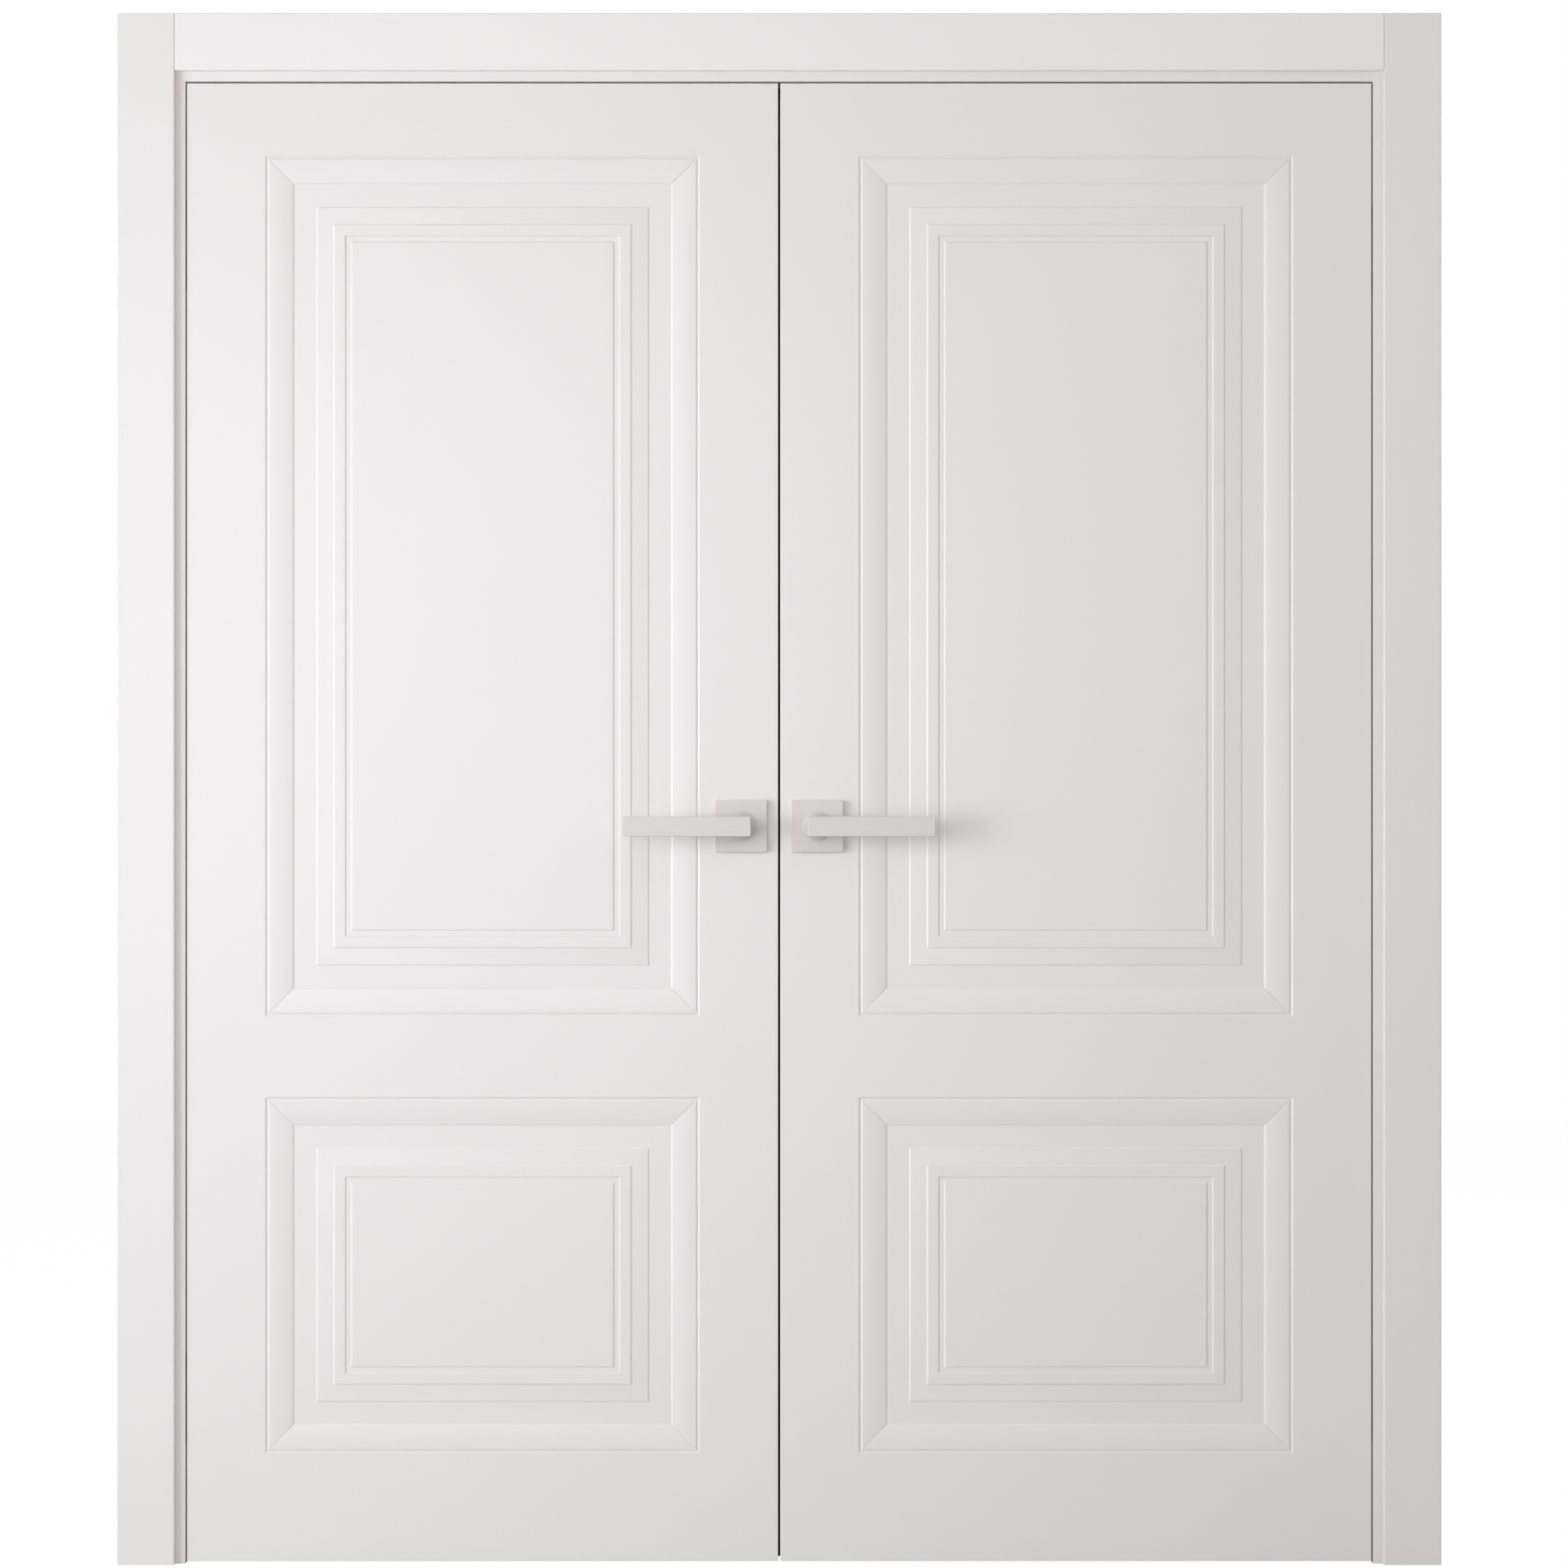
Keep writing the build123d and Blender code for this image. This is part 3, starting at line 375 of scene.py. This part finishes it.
class Shape:
    """A piece worked with Blender's own modelling tools; sizes are in metres."""

    def __init__(self, name: str, held: bpy.types.Object) -> None:
        """Take over an object that has its place in its mesh.

        Args:
            name: Name of the piece.
            held: The object.
        """
        self.object = held
        self.object.name = name

    @classmethod
    def added(cls, name: str) -> "Shape":
        """Take over the primitive that was just added.

        Args:
            name: Name of the piece.

        Returns:
            The new piece, with its place in its mesh.
        """
        bpy.ops.object.transform_apply(location=True, rotation=True, scale=True)
        return cls(name, bpy.context.object)

    @classmethod
    def block(cls, name: str, low: Point, high: Point) -> "Shape":
        """Start from a block.

        Args:
            name: Name of the piece.
            low: Lowest corner.
            high: Highest corner.

        Returns:
            The new piece.
        """
        middle = [(a + b) / 2 for a, b in zip(low, high)]
        bpy.ops.mesh.primitive_cube_add(size=1, location=middle)
        bpy.context.object.scale = [b - a for a, b in zip(low, high)]
        return cls.added(name)

    @classmethod
    def disc(
        cls, name: str, middle: Point, radius: float, depth: float, sides: int = 96
    ) -> "Shape":
        """Start from a disc whose axis is Y.

        Args:
            name: Name of the piece.
            middle: Centre of the disc.
            radius: Radius.
            depth: Length along Y.
            sides: Number of sides.

        Returns:
            The new piece.
        """
        bpy.ops.mesh.primitive_cylinder_add(
            vertices=sides, radius=radius, depth=depth, location=middle,
            rotation=(math.pi / 2, 0, 0),
        )
        return cls.added(name)

    @classmethod
    def copied(cls, name: str, node: str) -> "Shape":
        """Start from a CAD node's mesh, with its seams merged and its flats made whole.

        Args:
            name: Name of the piece.
            node: The CAD node.

        Returns:
            The new piece.
        """
        source = frame["nodes"][node]
        mesh = source.data.copy()
        mesh.transform(source.matrix_world)
        copy = cls(name, bpy.data.objects.new(name, mesh))
        bpy.context.scene.collection.objects.link(copy.object)
        with copy.editing():
            bpy.ops.mesh.select_all(action="SELECT")
            bpy.ops.mesh.remove_doubles(threshold=NEAR / 10)
            bpy.ops.mesh.dissolve_limited(angle_limit=math.radians(0.4))
        return copy

    @contextmanager
    def editing(self) -> Iterator[None]:
        """Edit mode on this piece alone.

        Returns:
            The context; object mode comes back at its end.
        """
        bpy.ops.object.select_all(action="DESELECT")
        self.object.select_set(True)
        bpy.context.view_layer.objects.active = self.object
        bpy.ops.object.mode_set(mode="EDIT")
        bpy.ops.mesh.select_mode(type="FACE")
        yield
        bpy.ops.object.mode_set(mode="OBJECT")

    def pick(self, kind: str, test: Callable[[object], bool]) -> None:
        """Select what passes a test, in edit mode.

        Args:
            kind: FACE or EDGE.
            test: Called with each face or edge.
        """
        bpy.ops.mesh.select_mode(type=kind)
        bpy.ops.mesh.select_all(action="DESELECT")
        mesh = bmesh.from_edit_mesh(self.object.data)
        for item in mesh.faces if kind == "FACE" else mesh.edges:
            item.select_set(test(item))
        mesh.select_flush_mode()
        bmesh.update_edit_mesh(self.object.data)

    def pick_faces(self, facing: Point, low: Point, high: Point) -> None:
        """Select the faces that face a way and whose middles lie in a box.

        Args:
            facing: Direction of their normals.
            low: Lowest corner of the box.
            high: Highest corner of the box.
        """
        way = Vector(facing)
        self.pick("FACE", lambda face: (
            face.normal.dot(way) > SAME_WAY and within(face.calc_center_median(), low, high)
        ))

    def pick_end(self, facing: int, place: float) -> None:
        """Select the flat faces that lie at one Y and face along it.

        Args:
            facing: 1 for +Y, -1 for -Y.
            place: Their Y.
        """
        self.pick("FACE", lambda face: (
            face.normal.y * facing > SAME_WAY
            and abs(face.calc_center_median().y - place) < NEAR
        ))

    def pick_edges(self, along: str, low: Point, high: Point) -> None:
        """Select the edges that run along an axis, or any, with both ends in a box.

        Args:
            along: X, Y or Z, or an empty string for any.
            low: Lowest corner of the box.
            high: Highest corner of the box.
        """
        axis = {"X": Vector((1, 0, 0)), "Y": Vector((0, 1, 0)), "Z": Vector((0, 0, 1))}.get(along)

        def lined_up(edge: bmesh.types.BMEdge) -> bool:
            """Whether an edge runs along the axis."""
            run = (edge.verts[1].co - edge.verts[0].co).normalized()
            return axis is None or abs(run.dot(axis)) > PARALLEL

        self.pick("EDGE", lambda edge: (
            lined_up(edge) and all(within(vert.co, low, high) for vert in edge.verts)
        ))

    def split(self, axis: str, *places: float) -> None:
        """Score the whole piece across an axis, in edit mode.

        Args:
            axis: X, Y or Z.
            places: Where along it.
        """
        index = "XYZ".index(axis)
        for place in places:
            point = [0.0, 0.0, 0.0]
            normal = [0.0, 0.0, 0.0]
            point[index], normal[index] = place, 1.0
            bpy.ops.mesh.select_all(action="SELECT")
            bpy.ops.mesh.bisect(plane_co=point, plane_no=normal)

    def round(self, radius: float, segments: int) -> None:
        """Round the selected edges, in edit mode."""
        bpy.ops.mesh.bevel(offset=radius, segments=segments, affect="EDGES", clamp_overlap=True)

    def step(self, run: float, rise: float) -> None:
        """Inset the selected faces and lift what is inside, in edit mode."""
        bpy.ops.mesh.inset(thickness=run, depth=rise, use_even_offset=True, use_boundary=True)

    def draw_out(self, offset: Point) -> None:
        """Extrude the selected faces by an offset, in edit mode."""
        bpy.ops.mesh.extrude_region_move(TRANSFORM_OT_translate={"value": offset})

    def modify(self, kind: str, **settings: object) -> None:
        """Add a modifier and apply it.

        Args:
            kind: Blender's type name of the modifier.
            settings: The modifier's settings.
        """
        bpy.context.view_layer.objects.active = self.object
        modifier = self.object.modifiers.new(kind.title(), kind)
        for key, value in settings.items():
            setattr(modifier, key, value)
        bpy.ops.object.modifier_apply(modifier=modifier.name)

    def ease(self, width: float, angle: float = 14.0, segments: int = 2) -> None:
        """Take the sharpness off every arris.

        Args:
            width: Width of the easing.
            angle: Least angle of an arris, in degrees.
            segments: Number of facets across it.
        """
        self.modify(
            "BEVEL", width=width, segments=segments, limit_method="ANGLE",
            angle_limit=math.radians(angle), use_clamp_overlap=True,
        )

    def combine(self, operation: str, *others: "Shape") -> None:
        """Cut other shapes off or join them on, and drop them.

        Args:
            operation: DIFFERENCE or UNION.
            others: The shapes, which are used up.
        """
        for other in others:
            self.modify("BOOLEAN", operation=operation, object=other.object, solver="EXACT")
            bpy.data.objects.remove(other.object)

    def smooth(self, angle: float = 30.0) -> None:
        """Shade smooth, with flats kept flat.

        Args:
            angle: Angle in degrees above which an edge stays crisp.
        """
        bpy.ops.object.select_all(action="DESELECT")
        self.object.select_set(True)
        bpy.context.view_layer.objects.active = self.object
        bpy.ops.object.shade_smooth_by_angle(angle=math.radians(angle))
        self.modify("WEIGHTED_NORMAL", keep_sharp=True)

    def reflected(self, name: str, x: bool, y: bool) -> "Shape":
        """Copy the piece to the other leaf or the other face.

        Args:
            name: Name of the copy.
            x: Whether left and right change places.
            y: Whether front and back change places.

        Returns:
            The copy, with its own mesh.
        """
        twin = self.object.copy()
        twin.data = self.object.data.copy()
        bpy.context.scene.collection.objects.link(twin)
        twin.data.transform(Matrix.Diagonal((-1 if x else 1, -1 if y else 1, 1, 1)))
        copy = Shape(name, twin)
        if x != y:
            with copy.editing():
                bpy.ops.mesh.select_all(action="SELECT")
                bpy.ops.mesh.flip_normals()
        return copy

    def in_all_places(self, part: str) -> list[tuple[Leaf, str, "Shape"]]:
        """Carry a piece of the right leaf's front to both faces of both leaves.

        Args:
            part: Word for the piece in the copies' names.

        Returns:
            Leaf, face and piece of each place.
        """
        places = []
        for leaf in Leaf:
            for face in ("front", "back"):
                x, y = leaf is Leaf.LEFT, face == "back"
                piece = self.reflected(f"{leaf.word}_{part}_{face}", x, y) if x or y else self
                places.append((leaf, face, piece))
        return places

    def hand_over(self, node: str, body: str, materials: Dressing) -> None:
        """Let the piece stand for a CAD node.

        Args:
            node: The CAD node that it replaces.
            body: The body that it rides on.
            materials: The finishes.
        """
        self.smooth()
        slot = materials.slots[node]
        self.object.data.materials.clear()
        self.object.data.materials.append(materials.materials[slot])
        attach(self.object, body)
        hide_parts(node)
        LOG.info("shaped %s for %s", self.object.name, node)


def within(point: Vector, low: Point, high: Point) -> bool:
    """Whether a point lies in a box."""
    return all(a - NEAR <= c <= b + NEAR for a, c, b in zip(low, point, high))


@dataclass
class Jambs:
    """Jambs whose mitred ends have their arrises taken off, so that the joint shows."""

    materials: Dressing
    easing: float = 0.5 * MM

    def eased(self, node: str) -> Shape:
        """One jamb with its mitres eased.

        Args:
            node: The jamb's CAD node.

        Returns:
            The eased copy.
        """
        _, side_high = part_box("jamb_right")
        lean = side_high[0] - side_high[2]
        jamb = Shape.copied(f"eased_{node}", node)
        with jamb.editing():
            jamb.pick("EDGE", lambda edge: all(
                abs(abs(vert.co.x) - vert.co.z - lean) < NEAR for vert in edge.verts
            ))
            jamb.round(self.easing, segments=1)
        return jamb

    def build(self) -> None:
        """Make all three."""
        for node in ("jamb_left", "jamb_right", "jamb_head"):
            self.eased(node).hand_over(node, "frame", self.materials)


@dataclass
class LeafSkins:
    """Routed skins on both faces of both leaves, drawn for the right leaf's front."""

    materials: Dressing
    side_margin: float = 106 * MM
    top_margin: float = 98 * MM
    middle_margin: float = 109 * MM
    bottom_margin: float = 146 * MM
    lower_height: float = 482 * MM
    edge_radius: float = 1.0 * MM
    easing: float = 0.2 * MM
    quirk: tuple[Step, ...] = ((2.8 * MM, 2.0 * MM), (2.4 * MM, -1.7 * MM))
    band_width: float = 31.3 * MM
    band_drop: float = 3.2 * MM
    band_steps: int = 8
    inner: tuple[Step, ...] = (
        (2.5 * MM, 1.4 * MM), (29.5 * MM, 0.0), (1.8 * MM, -1.2 * MM), (21.7 * MM, -2.0 * MM),
        (2.0 * MM, -1.3 * MM), (13.7 * MM, 0.0), (1.6 * MM, 1.5 * MM), (6.6 * MM, 0.0),
        (1.6 * MM, -1.5 * MM),
    )
    mitre_groove: float = 0.9 * MM
    mitre_start: float = 0.2 * MM
    spindle_hole: float = 10 * MM
    screw_reach: float = 25 * MM
    screw_hole: float = 1.8 * MM
    cup_half_height: float = 42 * MM
    cup_clearance: float = 0.15 * MM
    groove_width: float = 3 * MM
    groove_depth: float = 6 * MM
    stem_end_gap: float = 1 * MM
    hole_depth: float = 20 * MM
    overrun: float = 1 * MM

    def band(self) -> list[Step]:
        """Steps of the hollow that leaves the quirk level and grows steeper.

        Returns:
            Run and drop of each step.
        """
        radius = (self.band_width**2 + self.band_drop**2) / (2 * self.band_drop)
        runs = [self.band_width * k / self.band_steps for k in range(self.band_steps + 1)]
        drops = [radius - math.sqrt(radius**2 - run**2) for run in runs]
        return [(b - a, d - c) for a, b, c, d in zip(runs, runs[1:], drops, drops[1:])]

    def panels(self, low: Point, high: Point) -> list[tuple[float, float]]:
        """Where the panels lie.

        Args:
            low: Lowest corner of the skin.
            high: Highest corner of the skin.

        Returns:
            Bottom and top of each panel's moulding, the lower panel first.
        """
        bottom = low[2] + self.bottom_margin
        middle = bottom + self.lower_height
        return [(bottom, middle), (middle + self.middle_margin, high[2] - self.top_margin)]

    def mitre(self, corner: Point, across: int, up: int) -> Shape:
        """What is scored along the mitre of the hollow in one corner of a panel.

        Args:
            corner: Corner of the panel's moulding, on the leaf's face.
            across: 1 where the panel lies to the right of the corner, else -1.
            up: 1 where it lies above, else -1.

        Returns:
            The cutter, a thin bar that follows the hollow.
        """
        start = sum(run for run, _ in self.quirk)
        level = sum(drop for _, drop in self.quirk)
        turn = math.atan2(across, up)
        middle = (corner[0] + across * start, corner[1] + level, corner[2] + up * start)
        bpy.ops.mesh.primitive_cylinder_add(
            vertices=4, radius=self.mitre_groove, depth=self.mitre_start, location=middle,
            rotation=(0, turn, 0),
        )
        bar = Shape.added("cutter")
        way = Vector((math.sin(turn), 0, math.cos(turn)))
        with bar.editing():
            bar.pick("FACE", lambda face: face.normal.dot(way) > SAME_WAY)
            for run, drop in self.band():
                bar.draw_out((across * run, drop, up * run))
        return bar

    def mitres(self, low: Point, high: Point) -> list[Shape]:
        """What is scored along the mitres of all corners.

        Args:
            low: Lowest corner of the skin.
            high: Highest corner of the skin.

        Returns:
            The cutters.
        """
        sides = ((low[0] + self.side_margin, 1), (high[0] - self.side_margin, -1))
        return [
            self.mitre((x, low[1], z), across, up)
            for x, across in sides
            for bottom, top in self.panels(low, high)
            for z, up in ((bottom, 1), (top, -1))
        ]

    def holes(self, low: Point, high: Point) -> list[Shape]:
        """What is cut through or out of the skin for handle, screws and hinges.

        Args:
            low: Lowest corner of the skin.
            high: Highest corner of the skin.

        Returns:
            The cutters.
        """
        base_low, base_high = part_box("rose_right_front")
        x, z = (base_low[0] + base_high[0]) / 2, (base_low[2] + base_high[2]) / 2
        y = (low[1] + high[1]) / 2
        places = [(x, z, self.spindle_hole)]
        reach = (-self.screw_reach, self.screw_reach)
        places += [(x + dx, z + dz, self.screw_hole) for dx in reach for dz in reach]
        cutters = [
            Shape.disc("cutter", (cx, y, cz), radius, self.hole_depth, sides=48)
            for cx, cz, radius in places
        ]
        half = self.cup_half_height + self.cup_clearance
        for end in ("top", "bottom"):
            cup_low, cup_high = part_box(f"hinge_leaf_cup_right_{end}")
            height = (cup_low[2] + cup_high[2]) / 2
            inner, front = (side - self.cup_clearance for side in cup_low[:2])
            cutters.append(Shape.block(
                "cutter", (inner, front, height - half),
                (high[0] + self.overrun, high[1] + self.overrun, height + half),
            ))
        return cutters

    def seal_groove(self) -> Shape:
        """Groove of the lip seal in the left leaf's meeting edge.

        Returns:
            The cutter.
        """
        low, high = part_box("meeting_seal")
        middle = (low[1] + high[1]) / 2
        half = self.groove_width / 2
        edge = low[0] + self.groove_depth - self.stem_end_gap
        return Shape.block(
            "cutter", (edge - self.groove_depth, middle - half, low[2] - self.overrun),
            (edge + self.overrun, middle + half, high[2] + self.overrun),
        )

    def front(self) -> Shape:
        """Front skin of the right leaf.

        Returns:
            The finished skin.
        """
        low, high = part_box("leaf_right_skin_front")
        skin = Shape.block("right_skin_front", low, high)
        left, right = low[0] + self.side_margin, high[0] - self.side_margin
        panels = self.panels(low, high)
        profile = [*self.quirk, *self.band(), *self.inner]
        with skin.editing():
            skin.pick_edges("", low, (high[0], low[1], high[2]))
            skin.round(self.edge_radius, segments=4)
            skin.split("X", left, right)
            skin.split("Z", *(z for panel in panels for z in panel))
            for bottom, top in panels:
                skin.pick_faces((0, -1, 0), (left, low[1], bottom), (right, low[1], top))
                for run, drop in profile:
                    skin.step(run, -drop)
        skin.ease(self.easing)
        skin.combine("DIFFERENCE", *self.mitres(low, high), *self.holes(low, high))
        return skin

    def build(self) -> None:
        """Make all four skins."""
        for leaf, face, skin in self.front().in_all_places("skin"):
            if leaf is Leaf.LEFT and face == "back":
                skin.combine("DIFFERENCE", self.seal_groove())
            skin.hand_over(f"leaf_{leaf.word}_skin_{face}", f"leaf_{leaf.word}", self.materials)


@dataclass
class Handles:
    """Levers and square roses, drawn for the right leaf's front."""

    materials: Dressing
    bar_thickness: float = 12 * MM
    bar_height: float = 26.5 * MM
    corner_radius: float = 2.5 * MM
    edge_radius: float = 1.0 * MM
    foot_radius: float = 20 * MM
    foot_height: float = 1.6 * MM
    foot_easing: float = 0.4 * MM
    flare_radius: float = 19.4 * MM
    flare_height: float = 13 * MM
    neck_radius: float = 12.5 * MM
    flare_steps: int = 14
    journal_radius: float = 9 * MM
    heel: float = 13.5 * MM
    socket_half: float = 4.15 * MM
    spindle_depth: float = 36.15 * MM
    rose_wall: float = 1.6 * MM
    rose_edge_radius: float = 0.5 * MM
    rose_hole_radius: float = 9.3 * MM
    rose_hole_depth: float = 10 * MM
    rose_gap: float = 0.3 * MM
    corner_steps: int = 8
    edge_steps: int = 6
    rose_edge_steps: int = 5

    def spindle(self) -> tuple[float, float]:
        """X and Z of the right leaf's spindle."""
        low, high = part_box("rose_right_front")
        return (low[0] + high[0]) / 2, (low[2] + high[2]) / 2

    def rose(self) -> Shape:
        """Square rose: a thin cover with eased edges, hollow behind.

        Returns:
            The finished rose.
        """
        low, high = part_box("rose_right_front")
        x, z = self.spindle()
        rose = Shape.block("right_rose_front", low, high)
        with rose.editing():
            rose.pick_edges("Y", low, high)
            rose.round(self.corner_radius, self.corner_steps)
            rose.pick_edges("", low, (high[0], low[1], high[2]))
            rose.round(self.rose_edge_radius, self.rose_edge_steps)
            rose.pick_faces((0, 1, 0), low, high)
            rose.step(self.rose_wall, 0)
            rose.draw_out((0, low[1] + self.rose_wall - high[1], 0))
        hole = Shape.disc("cutter", (x, low[1], z), self.rose_hole_radius, self.rose_hole_depth)
        rose.combine("DIFFERENCE", hole)
        return rose

    def flare(self) -> list[Step]:
        """Stations of the neck from its foot to the bar.

        Returns:
            Advance towards the bar and radius at each.
        """
        spread = self.flare_radius - self.neck_radius
        radius = (spread**2 + self.flare_height**2) / (2 * spread)
        stations = []
        for k in range(1, self.flare_steps + 1):
            left = self.flare_height * (1 - k / self.flare_steps)
            width = self.neck_radius + radius - math.sqrt(radius**2 - left**2)
            stations.append((self.flare_height / self.flare_steps, width))
        return stations

    def neck(self, foot: float, front: float, back: float) -> Shape:
        """Neck that flares from the bar to a round foot, with its journal.

        Args:
            foot: Y of the foot's back.
            front: Y of the bar's front.
            back: Y of the journal's end.

        Returns:
            The neck.
        """
        x, z = self.spindle()
        pivot = (x, 0, z)
        middle = (x, foot - self.foot_height / 2, z)
        neck = Shape.disc("neck", middle, self.foot_radius, self.foot_height)
        foot_top = foot - self.foot_height
        with neck.editing():
            neck.pick_end(-1, foot_top)
            neck.step(self.foot_radius - self.flare_radius, 0)
            width = self.flare_radius
            for advance, radius in self.flare():
                neck.draw_out((0, -advance, 0))
                ratio = radius / width
                bpy.ops.transform.resize(value=(ratio, 1, ratio), center_override=pivot)
                width = radius
            inside = front + self.bar_thickness / 2
            neck.draw_out((0, inside - (foot_top - self.flare_height), 0))
            neck.pick_end(1, foot)
            neck.step(self.foot_radius - self.journal_radius, 0)
            neck.draw_out((0, back - foot, 0))
        neck.ease(self.foot_easing, angle=50)
        return neck

    def lever(self) -> Shape:
        """Front lever: a flat bar on its neck, with the square socket.

        Returns:
            The finished lever.
        """
        low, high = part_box("lever_right_front")
        rose_low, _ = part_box("rose_right_front")
        x, z = self.spindle()
        half = self.bar_height / 2
        bar_low = (x - self.heel, low[1], z - half)
        bar_high = (high[0], low[1] + self.bar_thickness, z + half)
        lever = Shape.block("right_lever_front", bar_low, bar_high)
        with lever.editing():
            lever.pick_edges("Y", bar_low, bar_high)
            lever.round(self.corner_radius, self.corner_steps)
            for y in (bar_low[1], bar_high[1]):
                lever.pick_edges("", (bar_low[0], y, bar_low[2]), (bar_high[0], y, bar_high[2]))
                lever.round(self.edge_radius, self.edge_steps)
        lever.combine("UNION", self.neck(rose_low[1] - self.rose_gap, low[1], high[1]))
        reach = self.socket_half
        lever.combine("DIFFERENCE", Shape.block(
            "cutter", (x - reach, LEAF_FACE - self.spindle_depth, z - reach),
            (x + reach, 0, z + reach),
        ))
        return lever

    def build(self) -> None:
        """Make all four levers and roses."""
        originals = (("rose", self.rose(), "leaf"), ("lever", self.lever(), "lever"))
        for part, original, body in originals:
            for leaf, face, piece in original.in_all_places(part):
                node = f"{part}_{leaf.word}_{face}"
                piece.hand_over(node, f"{body}_{leaf.word}", self.materials)


@dataclass(frozen=True)
class Lamp:
    """A soft square lamp that faces a point."""

    name: str
    place: Point
    aim: Point
    size: float
    power: float
    spread: float = math.pi
    color: Color = (0.94, 1.025, 1.035)

    def build(self) -> None:
        """Hang the lamp."""
        data = bpy.data.lights.new(self.name, "AREA")
        data.shape = "SQUARE"
        data.size = self.size
        data.spread = self.spread
        data.energy = self.power
        data.color = self.color
        lamp = bpy.data.objects.new(self.name, data)
        lamp.location = self.place
        way = Vector(self.aim) - Vector(self.place)
        lamp.rotation_euler = way.to_track_quat("-Z", "Y").to_euler()
        bpy.context.scene.collection.objects.link(lamp)


@dataclass
class Studio:
    """Camera, floor, world and lamps."""

    photo_pixels: float = 1932.0
    pixel_size: float = 1.0983 * MM
    distance: float = 5.3
    camera_x: float = 6.5 * MM
    camera_z: float = 1055 * MM
    sensor_width: float = 36.0
    clip_end: float = 100.0
    floor_size: float = 14.0
    floor_tone: float = 0.6
    floor_glow: float = 0.93
    glow_strength: float = 1.045
    fill: float = 0.47
    fill_color: Color = (1.0, 0.945, 0.94)
    lamps: tuple[Lamp, ...] = (
        Lamp(
            "key", (-4.0, -2.8, 1.05), (-0.3, 0.0, 1.0), size=2.6, power=34.0,
            spread=math.radians(88),
        ),
        Lamp("wash", (-0.7, -2.6, 1.4), (-0.6, 0.0, 0.95), size=1.4, power=15.0),
        Lamp("crown", (1.5, -1.8, 2.7), (0.8, 0.0, 2.0), size=0.8, power=2.5),
        Lamp("back", (2.5, 3.5, 2.6), (0.0, 0.0, 1.0), size=2.0, power=70.0),
    )

    def camera(self) -> None:
        """Place the camera square to the leaves, as in the photograph."""
        data = bpy.data.cameras.new("camera")
        data.sensor_width = self.sensor_width
        data.lens = self.sensor_width * self.distance / (self.photo_pixels * self.pixel_size)
        data.clip_end = self.clip_end
        camera = bpy.data.objects.new("camera", data)
        camera.location = (self.camera_x, LEAF_FACE - self.distance, self.camera_z)
        camera.rotation_euler = (math.radians(90), 0, 0)
        bpy.context.scene.collection.objects.link(camera)
        bpy.context.scene.camera = camera

    def world(self) -> None:
        """White to the eye and in reflections, a plain fill elsewhere."""
        world = bpy.data.worlds.new("studio")
        world.use_nodes = True
        tree = world.node_tree
        background = next(node for node in tree.nodes if node.type == "BACKGROUND")
        path = tree.nodes.new("ShaderNodeLightPath")
        seen = tree.nodes.new("ShaderNodeMath")
        seen.operation = "MAXIMUM"
        through = tree.nodes.new("ShaderNodeMath")
        through.operation = "MAXIMUM"
        tree.links.new(path.outputs["Is Camera Ray"], seen.inputs[0])
        tree.links.new(path.outputs["Is Glossy Ray"], seen.inputs[1])
        tree.links.new(seen.outputs[0], through.inputs[0])
        tree.links.new(path.outputs["Is Transmission Ray"], through.inputs[1])
        strength = tree.nodes.new("ShaderNodeMapRange")
        strength.inputs["To Min"].default_value = self.fill
        strength.inputs["To Max"].default_value = 1.0
        tree.links.new(through.outputs[0], strength.inputs["Value"])
        tree.links.new(strength.outputs["Result"], background.inputs["Strength"])
        tint = tree.nodes.new("ShaderNodeMixRGB")
        tint.inputs["Color1"].default_value = (*self.fill_color, 1)
        tint.inputs["Color2"].default_value = (1, 1, 1, 1)
        tree.links.new(through.outputs[0], tint.inputs["Fac"])
        tree.links.new(tint.outputs["Color"], background.inputs["Color"])
        bpy.context.scene.world = world

    def floor(self) -> None:
        """Pale floor that keeps a faint shadow."""
        bpy.ops.mesh.primitive_plane_add(size=self.floor_size)
        floor = bpy.context.object
        floor.name = "floor"
        graph = Graph("floor")
        matt = graph.add("ShaderNodeBsdfDiffuse", Color=(*[self.floor_tone] * 3, 1))
        glow = graph.add("ShaderNodeEmission", Color=(1, 1, 1, 1), Strength=self.glow_strength)
        path = graph.add("ShaderNodeLightPath")
        share = graph.add("ShaderNodeMath")
        share.operation = "MULTIPLY"
        share.inputs[1].default_value = self.floor_glow
        graph.join(path.outputs["Is Camera Ray"], share.inputs[0])
        mix = graph.add("ShaderNodeMixShader")
        graph.join(share.outputs[0], mix.inputs["Fac"])
        graph.join(matt.outputs["BSDF"], mix.inputs[1])
        graph.join(glow.outputs["Emission"], mix.inputs[2])
        graph.join(mix.outputs["Shader"], graph.output.inputs["Surface"])
        floor.data.materials.append(graph.material)

    def build(self) -> None:
        """Set up the whole studio."""
        self.camera()
        self.world()
        self.floor()
        for lamp in self.lamps:
            lamp.build()
        bpy.context.scene.view_settings.view_transform = "Standard"


def main() -> None:
    """Build the studio and the door's pieces in order."""
    logging.basicConfig(level=logging.INFO, format="%(message)s")
    bpy.ops.object.select_all(action="DESELECT")
    Studio().build()
    materials = Dressing()
    materials.dress()
    Jambs(materials).build()
    LeafSkins(materials).build()
    Handles(materials).build()


if __name__ == "__main__":
    main()
